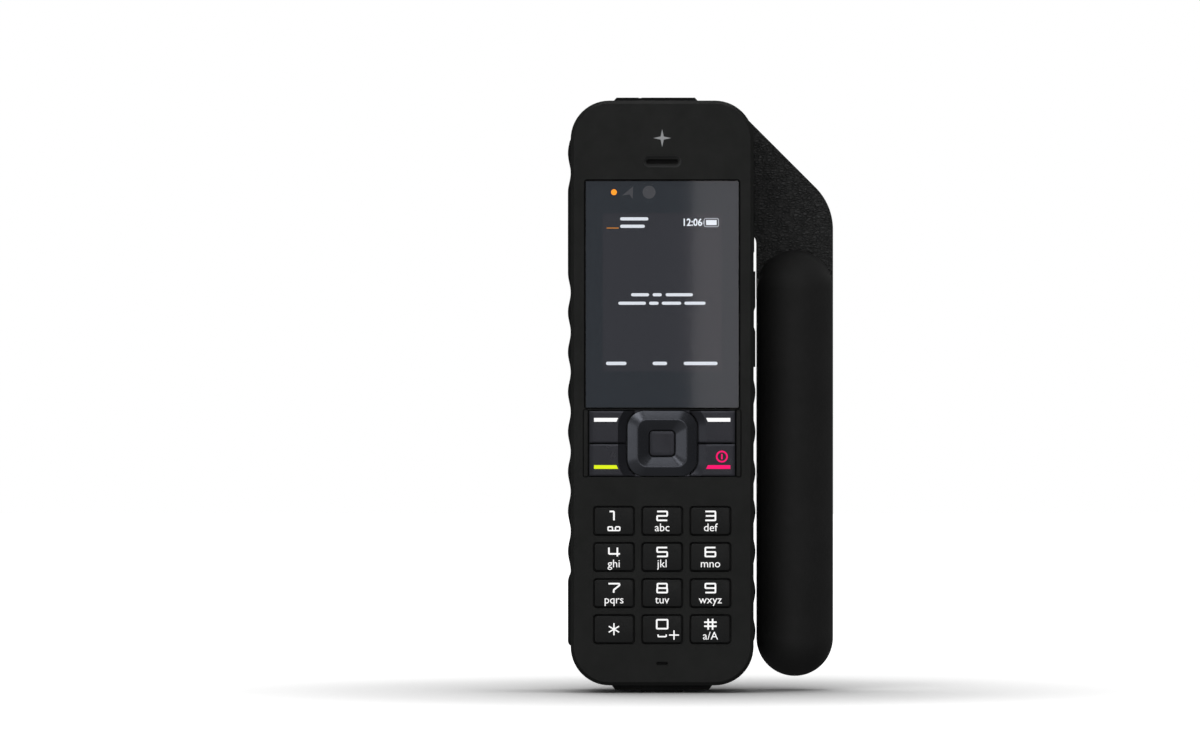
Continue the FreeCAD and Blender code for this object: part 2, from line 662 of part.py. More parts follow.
def housing_seal():
    body = new_body("housing_seal")
    pad(body, "y", "split_y - seal_depth", "split_y + seal_depth", *seal_outlines())


def housing_screws():
    shafts = []
    for number, (across, up) in enumerate(screw_places(), 1):
        shank = rod(f"shank_{number}", "y", (across, up), "screw_tip_y", "screw_seat_y", "screw_shank")
        head = rod(f"head_{number}", "y", (across, up), "screw_seat_y",
                   "screw_seat_y + screw_head_height", "screw_head")
        drive = box(f"drive_{number}", f"{across} - drive_half_width", f"{across} + drive_half_width",
                    "screw_seat_y + screw_head_height - drive_depth", "screw_seat_y + screw_head_height",
                    f"{up} - drive_half_length", f"{up} + drive_half_length")
        shafts.append(cut(f"screw_{number}", fuse(f"blank_{number}", shank, head), drive))
    group = doc.addObject("Part::Compound", "housing_screws")
    group.Links = shafts
    keep(group)


# ---------------------------------------------------------------- side grips

def grip_strip(body, side, low, high):
    """A strip along the case side with tapered ends."""
    reach = [("grip_inner", low), ("grip_valley", low), ("grip_crest", f"{low} + grip_taper"),
             ("grip_crest", f"{high} - grip_taper"), ("grip_valley", high), ("grip_inner", high)]
    outline = [(f"{side}({across})", up) for across, up in reach]
    pad(body, "y", "grip_front_y", "grip_back_y", outline)


def valleys(body, side, first, count):
    """Shallow round valleys, cut right across the strip."""
    feature = pocket(body, "y", "grip_front_y - past", "grip_back_y + past",
                     circle(f"{side}(grip_valley + valley_radius)", first, "valley_radius"))
    if count > 1:
        repeat(body, feature, "z", count, "grip_pitch")


def grip_right():
    body = new_body("grip_right")
    grip_strip(body, "", "grip_right_low_z", "grip_right_high_z")
    valleys(body, "", "valley_right_z", 6)


def grip_left():
    """The left grip has a smooth pad below its waves and a pocket for the audio cover."""
    body = new_body("grip_left")
    grip_strip(body, "-", "grip_left_low_z", "grip_left_high_z")
    grip_strip(body, "-", "pad_low_z", "grip_left_low_z")
    valleys(body, "-", "valley_left_z", 7)
    valleys(body, "-", "valley_upper_z", 1)
    pocket(body, "x", "-grip_crest - past", "-cover_inner + cover_clear",
           rectangle("port_front_y - port_clear / 2", "port_back_y + port_clear / 2",
                     "left_cover_low_z - port_clear / 2",
                     "left_cover_low_z + cover_length + port_clear / 2"))
    pocket(body, "x", "-grip_crest", "-grip_inner", circle("port_y", "audio_z", "audio_collar"))


# ---------------------------------------------------------------- display, earpiece, microphone

def display_window():
    body = new_body("display_window")
    front = "face_y + window_recess - window_thick"
    pad(body, "y", front, "face_y + window_recess",
        rounded("-window_half_width", "window_half_width", "window_bottom_z", "window_top_z", "window_corner"))
    dress(body, "Chamfer", "window_edge", at_y(front))


def lcd_panel():
    body = new_body("lcd_panel")
    front = "face_y + window_recess + panel_gap"
    pad(body, "y", front, f"{front} + panel_thick",
        rounded("-panel_half_width", "panel_half_width", "panel_bottom_z", "panel_top_z", "panel_corner"))
    pocket(body, "y", front, f"{front} + view_depth",
           rectangle("-view_half_width", "view_half_width", "view_bottom_z", "view_top_z"))


def status_led():
    front = "face_y + window_recess + panel_gap"
    middle = f"{front} + led_height"
    lamp = rod("led_lamp", "y", ("led_x", "led_z"), front, middle, "led_radius")
    board = box("led_board", "led_x - led_board_left", "led_x + led_board_right", middle,
                f"{middle} + led_board_thick", "led_z - led_board_half_height", "led_z + led_board_half_height")
    keep(fuse("status_led", lamp, board))


def earpiece():
    back = "face_y + face_wall"
    body = new_body("earpiece_mesh")
    pad(body, "y", back, f"{back} + mesh_thick",
        slot("0", "ear_z", "ear_half_width + mesh_side", "ear_radius + mesh_rise"))
    body = new_body("earpiece_speaker")
    pad(body, "y", f"{back} + mesh_thick", f"{back} + receiver_reach",
        slot("0", "ear_z", "receiver_half_width", "receiver_radius"))
    dress(body, "Chamfer", "receiver_edge", at_y(f"{back} + receiver_reach"))


def microphone():
    body = new_body("microphone")
    back = "face_y + face_wall"
    pad(body, "y", back, f"{back} + capsule_height", circle("0", "voice_z", "capsule_radius"))
    pocket(body, "y", back, f"{back} + capsule_hole_depth", circle("0", "voice_z", "capsule_hole"))


# ---------------------------------------------------------------- keys

def keypad():
    for name, across, up in key_places():
        body = new_body(name)
        front = "face_y - key_proud"
        foot_front = "face_y + face_wall + foot_gap"
        pad(body, "y", front, foot_front,
            rounded(f"{across} - key_half_width", f"{across} + key_half_width",
                    f"{up} - key_half_height", f"{up} + key_half_height", "key_corner"))
        dress(body, "Fillet", "key_round", at_y(front))
        pad(body, "y", foot_front, f"{foot_front} + key_foot",
            rectangle(f"{across} - foot_half_width", f"{across} + foot_half_width",
                      f"{up} - foot_half_height", f"{up} + foot_half_height"))


def keypad_mat():
    body = new_body("keypad_mat")
    pad(body, "y", "mat_front_y", "mat_front_y + mat_thick",
        rounded("-mat_half_width", "mat_half_width", "mat_bottom_z", "mat_top_z", "mat_corner"))
    pocket(body, "y", "mat_front_y + mat_thick - dome_depth", "mat_front_y + mat_thick",
           *[circle(across, up, "dome_radius") for _, across, up in key_places()])


def dome_board():
    body = new_body("dome_board")
    pad(body, "y", "mat_front_y + mat_thick", "mat_front_y + mat_thick + board_thick",
        rounded("-mat_half_width", "mat_half_width", "mat_bottom_z", "mat_top_z", "mat_corner"))


# ---------------------------------------------------------------- navigation cluster

def function_key(name, side, upper):
    """A key beside the ring: its inner edge follows the ring's outline."""
    body = new_body(name)
    edge = "nav_z + function_split" if upper else "nav_z - nav_half_height"
    top = "nav_z + nav_half_height" if upper else "nav_z - function_split"
    left, right = ("-nav_half_width", "-function_inner") if side < 0 else ("function_inner", "nav_half_width")
    foot_front = "face_y + face_wall + foot_gap"
    pad(body, "y", "function_y", foot_front, rectangle(left, right, edge, top))
    outer = (("-nav_half_width - function_foot_edge", "-function_foot_inner") if side < 0 else
             ("function_foot_inner", "nav_half_width + function_foot_edge"))
    foot_low = edge if upper else f"{edge} - function_foot_edge"
    foot_high = f"{top} + function_foot_edge" if upper else top
    pad(body, "y", foot_front, f"{foot_front} + key_foot", rectangle(*outer, foot_low, foot_high))
    outer_edge = inside("-nav_half_width", "-nav_half_width", edge, top) if side < 0 else (
        inside("nav_half_width", "nav_half_width", edge, top))
    dress(body, "Fillet", "function_round", both(at_y("function_y"), outer_edge))
    pocket(body, "y", "function_y", f"{foot_front} + key_foot", ring_outline("nav_gap"))


def nav_ring():
    body = new_body("nav_ring")
    pad(body, "y", "crest_y", "ring_back_y", ring_outline("0"))
    dress(body, "Chamfer", "ring_bevel", at_y("crest_y"))
    pocket(body, "y", "crest_y", "ring_back_y", square("ring_hole", "ring_hole_corner"))
    hole = inside("-ring_hole", "ring_hole", "nav_z - ring_hole", "nav_z + ring_hole")
    dress(body, "Chamfer", "ring_bevel", both(at_y("crest_y"), hole))


def nav_tilt_plate():
    body = new_body("nav_tilt_plate")
    pad(body, "y", "tilt_front_y", "tilt_back_y", square("tilt_half_width", "tilt_corner"))
    pocket(body, "y", "tilt_front_y", "tilt_back_y", square("tilt_hole", "tilt_hole_corner"))


def nav_plate():
    """The plate behind the ring. Its four raised corners fill the space beside the ring's corners."""
    body = new_body("nav_plate")
    pad(body, "y", "plate_front_y", "mat_front_y",
        rectangle("-plate_half_width", "plate_half_width", "nav_z - nav_half_height",
                  "nav_z + nav_half_height"))
    pad(body, "y", "plate_corner_y", "plate_front_y",
        rectangle("-plate_half_width", "plate_half_width", "nav_z - nav_half_height",
                  "nav_z + nav_half_height"))
    pocket(body, "y", "plate_corner_y", "plate_front_y", ring_outline("nav_gap"))
    pocket(body, "y", "plate_front_y", "mat_front_y", square("plate_hole", "plate_hole_corner"))


def select_key():
    body = new_body("select_key")
    pad(body, "y", "select_y", "select_back_y", square("select_half_width", "select_corner"))
    dress(body, "Fillet", "select_round", at_y("select_y"))
    pad(body, "y", "select_back_y", "stem_back_y", square("stem_half_width", "stem_corner"))


# ---------------------------------------------------------------- side controls and ports

def volume_rocker():
    body = new_body("volume_rocker")
    low_end = "rocker_low_z + rocker_end"
    high_end = "rocker_high_z - rocker_end"
    pad(body, "y", "port_front_y", "port_back_y",
        [("rocker_inner", "rocker_low_z"), ("rocker_crest", "rocker_low_z"), ("rocker_crest", low_end),
         ("rocker_waist", f"{low_end} + rocker_slope"), ("rocker_waist", f"{high_end} - rocker_slope"),
         ("rocker_crest", high_end), ("rocker_crest", "rocker_high_z"), ("rocker_inner", "rocker_high_z")])


def port_cover(name, side, low, outer, socket_z):
    """A rubber cover that lies in the case side, with a short plug on its inner face."""
    body = new_body(name)
    sign = "-" if side < 0 else ""
    high = f"{low} + cover_length"
    outline = [("cover_inner", low), (outer, f"{low} + cover_end"), (outer, f"{high} - cover_end"),
               ("cover_inner", high)]
    pad(body, "y", "port_front_y", "port_back_y", [(f"{sign}({x})", z) for x, z in outline])
    inner, tip = f"{sign}cover_inner", f"{sign}(cover_inner - cover_plug)"
    ends = (inner, tip) if side < 0 else (tip, inner)
    pad(body, "x", *ends, circle("port_y", socket_z, "cover_plug_radius"))


def audio_jack():
    """The headset socket: a box with a round collar and a bore for a 3.5 mm plug."""
    inner = "-(case_half_width - side_wall)"
    half = "audio_half_width"
    block = box("jack_block", inner, f"{inner} + audio_length", f"port_y - {half}", f"port_y + {half}",
                f"audio_z - {half}", f"audio_z + {half}")
    mouth = "-(cover_inner - cover_plug - cover_clear)"
    collar = rod("jack_collar", "x", ("port_y", "audio_z"), mouth, inner, "audio_collar - audio_clear")
    bore = rod("jack_bore", "x", ("port_y", "audio_z"), mouth, f"{inner} + audio_length - audio_wall",
               "audio_radius")
    keep(cut("audio_jack", fuse("jack_blank", block, collar), bore))


def antenna_port():
    """The socket for an outdoor antenna: a round shell with a blind bore."""
    mouth = "cover_inner - cover_plug - cover_clear"
    shell = rod("port_shell", "x", ("port_y", "aerial_z"), f"{mouth} - aerial_length", mouth,
                "aerial_radius - cover_clear")
    bore = rod("port_bore", "x", ("port_y", "aerial_z"), f"{mouth} - aerial_length + aerial_wall", mouth,
               "aerial_bore")
    keep(cut("antenna_port", shell, bore))


def assistance_button():
    body = new_body("assistance_button")
    pad(body, "z", "assist_low_z - assist_flange", "assist_low_z",
        circle("assist_x", "assist_y", "assist_radius + assist_flange"))
    pad(body, "z", "assist_low_z", "assist_top_z", circle("assist_x", "assist_y", "assist_radius"))
    dress(body, "Fillet", "assist_round", at_z("assist_top_z"))


def assistance_cover():
    body = new_body("assistance_cover")
    pad(body, "y", "cap_front_y", "cap_back_y",
        [("cap_left_x", "case_top_z"), ("cap_right_x", "case_top_z"),
         ("cap_right_x - cap_slope", "case_top_z + cap_height"),
         ("cap_left_x + cap_slope", "case_top_z + cap_height")])
    pocket(body, "y", "cap_front_y", "cap_back_y",
           rectangle("notch_left_x", "notch_right_x", "case_top_z + cap_height - notch_depth",
                     "case_top_z + cap_height"))


def bottom_port_cover():
    """The rubber foot: a block, a finger tab under it and a short plug for the charging port."""
    body = new_body("bottom_port_cover")
    pad(body, "y", "foot_front_y", "foot_back_y",
        [("-foot_bottom", "foot_z"), ("foot_bottom", "foot_z"), ("foot_base", "case_bottom_z"),
         ("-foot_base", "case_bottom_z")])
    pad(body, "y", "tab_front_y", "tab_back_y",
        [("-tab_bottom", "0"), ("tab_bottom", "0"), ("tab_base", "foot_z"), ("-tab_base", "foot_z")])
    plug_wide = "(usb_half_width - usb_wall - usb_plug_gap)"
    pad(body, "z", "case_bottom_z", "case_bottom_z + usb_plug",
        rectangle(f"-{plug_wide}", plug_wide, "usb_y - usb_plug_half_thick", "usb_y + usb_plug_half_thick"))


def usb_connector():
    """A micro connector shell with its tongue, facing down."""
    shell = box("usb_shell", "-usb_half_width", "usb_half_width", "usb_y - usb_half_height",
                "usb_y + usb_half_height", "usb_low_z", "usb_top_z")
    mouth = box("usb_mouth", "-(usb_half_width - usb_wall)", "usb_half_width - usb_wall",
                "usb_y - usb_half_height + usb_wall", "usb_y + usb_half_height - usb_wall",
                "usb_low_z", "usb_top_z - usb_back_wall")
    tongue = box("usb_tongue", "-tongue_half_width", "tongue_half_width", "usb_y - tongue_half_thick",
                 "usb_y + tongue_half_thick", "usb_low_z + tongue_recess", "usb_top_z - usb_back_wall / 2")
    keep(fuse("usb_connector", cut("usb_case", shell, mouth), tongue))


# ---------------------------------------------------------------- boards and parts on them

def main_board():
    body = new_body("main_board")
    pad(body, "y", "main_front_y", "main_back_y",
        rounded("-main_half_width", "main_half_width", "main_low_z", "main_high_z", "main_corner"))
    pocket(body, "y", "main_front_y", "main_back_y",
           *[circle(across, up, "boss_rear + boss_clear") for across, up in screw_places()])


def shield_cans():
    cans = []
    for name in ("logic", "power", "radio"):
        cans.append(box(f"{name}_can", f"{name}_left_x", f"{name}_right_x", "main_back_y",
                        "main_back_y + can_height", f"{name}_low_z", f"{name}_high_z"))
    group = doc.addObject("Part::Compound", "shield_cans")
    group.Links = cans
    keep(group)


def loudspeaker():
    body = new_body("loudspeaker")
    pad(body, "y", "speaker_front_y", "chamber_back_y", circle("speaker_x", "speaker_z", "speaker_radius"))
    dress(body, "Chamfer", "speaker_edge", at_y("speaker_front_y"))
    pocket(body, "y", "chamber_back_y - speaker_dish", "chamber_back_y",
           circle("speaker_x", "speaker_z", "speaker_radius - speaker_rim"))


def gps_antenna():
    body = new_body("gps_antenna")
    pad(body, "y", "main_back_y", "main_back_y + patch_thick",
        rectangle("patch_left_x", "patch_left_x + patch_size", "patch_low_z", "patch_low_z + patch_size"))
    dress(body, "Chamfer", "patch_edge", at_y("main_back_y + patch_thick"))


# ---------------------------------------------------------------- battery and card

def battery_cover():
    """A tray-shaped shell with the section of the bulge."""
    body = new_body("battery_cover")
    low, high = "cover_low_z + cover_gap", "cover_high_z - cover_gap"
    pad(body, "z", low, high, bulge_section("bulge_half_width", "back_y", "bulge_round"))
    pocket(body, "x", "-bulge_half_width - past", "bulge_half_width + past",
           rectangle("deck_y - past", "cover_y + cover_gap / 2", low, high))
    pocket(body, "z", f"{low} + cover_wall", f"{high} - cover_wall",
           bulge_section("bulge_half_width - cover_wall", "back_y - cover_wall", "bulge_round - cover_wall"))


def battery_pack():
    body = new_body("battery_pack")
    pad(body, "y", "pack_front_y", "pack_back_y",
        rounded("-pack_half_width", "pack_half_width", "pack_low_z", "pack_high_z", "pack_round"))
    dress(body, "Fillet", "pack_round", at_y("pack_back_y"))


def battery_contacts():
    block = box("contact_block", "-contact_half_width", "contact_half_width", "deck_y", "contact_back_y",
                "bay_low_z", "bay_low_z + contact_height")
    blades = [box(f"blade_{number}", f"{number - 1.5} * blade_pitch - blade_half_width",
                  f"{number - 1.5} * blade_pitch + blade_half_width", "deck_y + blade_inset",
                  "contact_back_y - blade_inset", "bay_low_z + contact_height",
                  "bay_low_z + contact_height + blade_rise") for number in range(4)]
    keep(fuse("battery_contacts", block, *blades))


def battery_latch():
    body = new_body("battery_latch")
    pad(body, "y", "back_y - latch_depth", "back_y",
        rectangle("-latch_half_width", "latch_half_width", "latch_low_z", "latch_high_z"))
    for rib in range(3):
        low = f"latch_low_z + rib_start + {rib} * rib_pitch"
        pocket(body, "y", "back_y - rib_depth", "back_y",
               rectangle("-latch_half_width + rib_inset", "latch_half_width - rib_inset", low,
                         f"{low} + rib_height"))


def sim_holder():
    """Two rails and a strap over the card."""
    rails = []
    inner = "card_half_width + holder_gap"
    outer = "card_bay_half_width"
    for name, left, right in (("rail_left", f"-({outer})", f"-({inner})"), ("rail_right", inner, outer)):
        rails.append(box(name, left, right, "holder_front_y", "holder_back_y", "card_low_z", "card_high_z"))
    strap = box("holder_strap", f"-({outer})", outer, "card_back_y + holder_gap", "holder_back_y",
                "strap_low_z", "strap_high_z")
    keep(fuse("sim_holder", *rails, strap))


def sim_card():
    body = new_body("sim_card")
    pad(body, "y", "card_front_y", "card_back_y",
        [("-card_half_width", "card_low_z"), ("card_half_width", "card_low_z"),
         ("card_half_width", "card_high_z - card_cut"), ("card_half_width - card_cut", "card_high_z"),
         ("-card_half_width", "card_high_z")])


# ---------------------------------------------------------------- antenna

def arm_outline():
    """Front view of the arm: a round hub, a 45 degree strip, an elbow and a stretch down."""
    slant = "arm_half_width / sqrt(2)"
    left = "(rod_x - rod_radius)"
    right = "(rod_x + rod_radius)"
    lower_sum = "(pivot_x + pivot_z - arm_half_width * sqrt(2))"
    upper_sum = "(pivot_x + pivot_z + arm_half_width * sqrt(2))"
    inner_run = "elbow_inner * (1 - 1 / sqrt(2))"
    inner_drop = "elbow_inner * (sqrt(2) - 1)"
    outer_run = "elbow_outer * (1 - 1 / sqrt(2))"
    outer_drop = "elbow_outer * (sqrt(2) - 1)"
    return [
        (f"pivot_x - {slant}", f"pivot_z - {slant}"),
        (f"{left} - {inner_run}", f"{lower_sum} - {left} + {inner_run}", "elbow_inner", -1),
        (left, f"{lower_sum} - {left} - {inner_drop}"),
        (left, "arm_low_z"), (right, "arm_low_z"),
        (right, f"{upper_sum} - {right} - {outer_drop}", "elbow_outer", 1),
        (f"{right} - {outer_run}", f"{upper_sum} - {right} + {outer_run}"),
        (f"pivot_x + {slant}", f"pivot_z + {slant}", "arm_half_width", 1),
    ]


def antenna_arm():
    """The back shell of the arm, with a channel for the feed cable."""
    body = new_body("antenna_arm")
    front = "arm_front_y + arm_face"
    pad(body, "y", front, "back_y", arm_outline())
    dress(body, "Fillet", "arm_round", both(at_y("back_y"), lambda box: box.ZMax > size("arm_low_z + past")))
    pocket(body, "y", front, "shaft_high_y", circle("pivot_x", "pivot_z", "shaft_radius"))
    pocket(body, "y", front, "shaft_high_y + channel_spare", channel_outline())


def channel_outline():
    """The feed channel, from the hub to the rod."""
    turn_z = "pivot_z + pivot_x - rod_x + channel_rise"
    return [
        ("pivot_x + channel_near", "pivot_z - channel_far"), ("rod_x - channel_turn", turn_z),
        ("rod_x - channel_half_width", "arm_low_z"), ("rod_x + channel_half_width", "arm_low_z"),
        ("rod_x + channel_half_width", turn_z), ("pivot_x + channel_far", "pivot_z - channel_near"),
    ]


def arm_faceplate():
    body = new_body("arm_faceplate")
    pad(body, "y", "arm_front_y", "arm_front_y + arm_face", arm_outline())
    pocket(body, "y", "arm_front_y", "arm_front_y + arm_face", circle("pivot_x", "pivot_z", "shaft_radius"))


def capsule(label, radius, low, high):
    """A round-ended rod from low to high on the antenna's axis."""
    centre = ("rod_x", "rod_y")
    middle = rod(f"{label}_tube", "z", centre, f"{low} + {radius}", f"{high} - {radius}", radius)
    ends = []
    for name, level in (("low", f"{low} + {radius}"), ("high", f"{high} - {radius}")):
        end = solid("Sphere", f"{label}_{name}", Radius=radius)
        ends.append(place(end, *centre, level))
    return fuse(label, middle, *ends)


def antenna_radome():
    outer = capsule("radome_outer", "rod_radius", "rod_low_z", "rod_high_z")
    inner = capsule("radome_inner", "rod_radius - rod_wall", "rod_low_z + rod_wall", "rod_high_z - rod_wall")
    seat = box("radome_seat", "rod_x - rod_radius - past", "rod_x + rod_radius + past", "arm_front_y",
               "back_y + past", "arm_low_z", "rod_high_z + past")
    keep(cut("antenna_radome", outer, inner, seat))


def antenna_element():
    """The slotted former that carries the four arms of the helical antenna."""
    centre = ("rod_x", "rod_y")
    outer = rod("former_outer", "z", centre, "former_low_z", "former_high_z", "former_radius")
    inner = rod("former_inner", "z", centre, "former_low_z", "former_high_z", "former_radius - former_wall")
    ends = ("former_low_z + former_end", "former_high_z - former_end")
    slots = [
        box("slot_across", "rod_x - former_radius - past", "rod_x + former_radius + past",
            "rod_y - former_slot / 2", "rod_y + former_slot / 2", *ends),
        box("slot_deep", "rod_x - former_slot / 2", "rod_x + former_slot / 2",
            "rod_y - former_radius - past", "rod_y + former_radius + past", *ends),
    ]
    keep(cut("antenna_element", outer, inner, *slots))


def hinge_shaft():
    centre = ("pivot_x", "pivot_z")
    pin = rod("shaft_pin", "y", centre, "shaft_low_y", "shaft_high_y", "shaft_radius")
    flange = rod("shaft_flange_disc", "y", centre, "shaft_flange_y", "shaft_low_y", "shaft_flange")
    bore = rod("shaft_bore_tool", "y", centre, "shaft_flange_y", "shaft_high_y", "shaft_bore")
    keep(cut("hinge_shaft", fuse("shaft_blank", pin, flange), bore))


def hinge_bushing():
    centre = ("pivot_x", "pivot_z")
    sleeve = rod("bush_sleeve", "y", centre, "bush_low_y", "deck_y", "bush_radius")
    collar = rod("bush_collar", "y", centre, "deck_y", "bush_flange_y", "bush_flange")
    bore = rod("bush_bore", "y", centre, "bush_low_y", "bush_flange_y", "shaft_radius + bush_clear")
    keep(cut("hinge_bushing", fuse("bush_blank", sleeve, collar), bore))


def antenna_feed():
    """The coaxial cable from the hollow shaft to the antenna element, laid in the arm's channel."""
    start = VECTOR(size("pivot_x + coax_start"), size("coax_y"), size("pivot_z - coax_start"))
    corner = VECTOR(size("rod_x"), size("coax_y"), size("pivot_z + pivot_x - rod_x"))
    end = VECTOR(size("rod_x"), size("coax_y"), size("arm_low_z"))
    into = corner + (start - corner).normalize() * size("coax_bend")
    out = corner + (end - corner).normalize() * size("coax_bend")
    # The cable turns by 45 degrees; this point makes the arc meet both straight lengths without a kink.
    middle = corner + ((into + out) * 0.5 - corner) * (1 / (1 + math.cos(math.radians(45 / 2))))
    path = Part.Wire([Part.LineSegment(start, into).toShape(), Part.Arc(into, middle, out).toShape(),
                      Part.LineSegment(out, end).toShape()])
    section = Part.Wire([Part.Circle(start, into - start, size("coax_radius")).toShape()])
    feature = doc.addObject("Part::Feature", "antenna_feed")
    feature.Shape = path.makePipeShell([section], True, False)
    keep(feature)


# ---------------------------------------------------------------- build, prove, export

def build():
    front_housing()
    rear_housing()
    housing_seal()
    housing_screws()
    grip_left()
    grip_right()
    display_window()
    lcd_panel()
    status_led()
    earpiece()
    microphone()
    keypad()
    keypad_mat()
    dome_board()
    function_key("soft_key_left", -1, True)
    function_key("soft_key_right", 1, True)
    function_key("call_key", -1, False)
    function_key("end_key", 1, False)
    nav_ring()
    nav_tilt_plate()
    nav_plate()
    select_key()
    volume_rocker()
    port_cover("left_port_cover", -1, "left_cover_low_z", "left_cover_outer", "audio_z")
    port_cover("right_port_cover", 1, "right_cover_low_z", "right_cover_outer", "aerial_z")
    audio_jack()
    antenna_port()
    assistance_button()
    assistance_cover()
    bottom_port_cover()
    usb_connector()
    main_board()
    shield_cans()
    loudspeaker()
    gps_antenna()
    battery_cover()
    battery_pack()
    battery_contacts()
    battery_latch()
    sim_holder()
    sim_card()
    antenna_arm()
    arm_faceplate()
    antenna_radome()
    antenna_element()
    hinge_shaft()
    hinge_bushing()
    antenna_feed()
    doc.recompute()


def prove():
    """Stop if any feature failed or any sub-part has no valid solid."""
    for item in doc.Objects:
        if "Invalid" in item.State or "Error" in item.State:
            raise ValueError(f"{item.Label} failed: {item.State}")
    for part in parts:
        if part.Shape.isNull() or not part.Shape.isValid() or not part.Shape.Solids:
            raise ValueError(f"{part.Label} has no valid solid")


def export():
    os.makedirs("parts", exist_ok=True)
    for part in parts:
        part.Shape.exportStep(f"parts/{part.Label}.step")
        print(f"{part.Label}: {len(part.Shape.Solids)} solid, {part.Shape.Volume:.1f} mm3")


build()
prove()
export()
print(f"{len(parts)} sub-parts")
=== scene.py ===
"""Looks of a satellite handset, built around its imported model.

Everything is in metres and in the model's own frame: +Z up the handset, the front faces -Y.
"""

import json
from math import cos, hypot, pi, radians, sin, sqrt, tau

import bmesh
import bpy
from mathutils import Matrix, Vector

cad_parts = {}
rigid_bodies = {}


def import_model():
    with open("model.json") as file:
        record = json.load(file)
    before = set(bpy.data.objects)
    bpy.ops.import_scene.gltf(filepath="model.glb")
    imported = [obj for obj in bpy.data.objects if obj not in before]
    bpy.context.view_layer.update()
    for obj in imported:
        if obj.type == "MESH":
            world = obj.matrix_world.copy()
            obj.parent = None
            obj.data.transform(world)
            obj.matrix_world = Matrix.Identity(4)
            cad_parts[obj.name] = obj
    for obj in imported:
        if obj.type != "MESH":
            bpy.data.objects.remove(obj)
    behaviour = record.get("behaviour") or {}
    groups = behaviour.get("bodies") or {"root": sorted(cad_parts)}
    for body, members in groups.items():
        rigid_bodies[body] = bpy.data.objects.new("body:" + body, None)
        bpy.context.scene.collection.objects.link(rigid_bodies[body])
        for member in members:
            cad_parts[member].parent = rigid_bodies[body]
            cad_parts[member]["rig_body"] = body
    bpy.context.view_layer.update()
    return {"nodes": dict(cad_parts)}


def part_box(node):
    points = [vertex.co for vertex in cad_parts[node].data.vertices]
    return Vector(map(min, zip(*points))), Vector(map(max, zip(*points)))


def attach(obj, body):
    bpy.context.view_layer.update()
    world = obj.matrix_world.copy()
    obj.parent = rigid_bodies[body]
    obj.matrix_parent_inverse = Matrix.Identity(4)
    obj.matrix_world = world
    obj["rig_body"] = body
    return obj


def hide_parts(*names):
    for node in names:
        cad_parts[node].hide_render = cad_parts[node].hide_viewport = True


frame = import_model()

MM = 0.001
HANDSET = "handset"
TRIM_PROUD = 0.25 * MM
WHITE = (1, 1, 1, 1)


# -------- places read from the frame

def middle(node):
    low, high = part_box(node)
    return (low + high) / 2


def measures(node):
    """A node's lowest and highest corners, its middle, and half of its width and of its height."""
    low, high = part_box(node)
    return low, high, middle(node), (high.x - low.x) / 2, (high.z - low.z) / 2


def body_of(node):
    return frame["nodes"][node]["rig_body"]


def face_level():
    """Depth of the flat front face: the trim strips beside the ring stand this much proud of it."""
    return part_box("front_housing")[0].y + TRIM_PROUD


def put_in_scene(name, data):
    made = bpy.data.objects.new(name, data)
    bpy.context.scene.collection.objects.link(made)
    return made


# -------- building blocks of a material

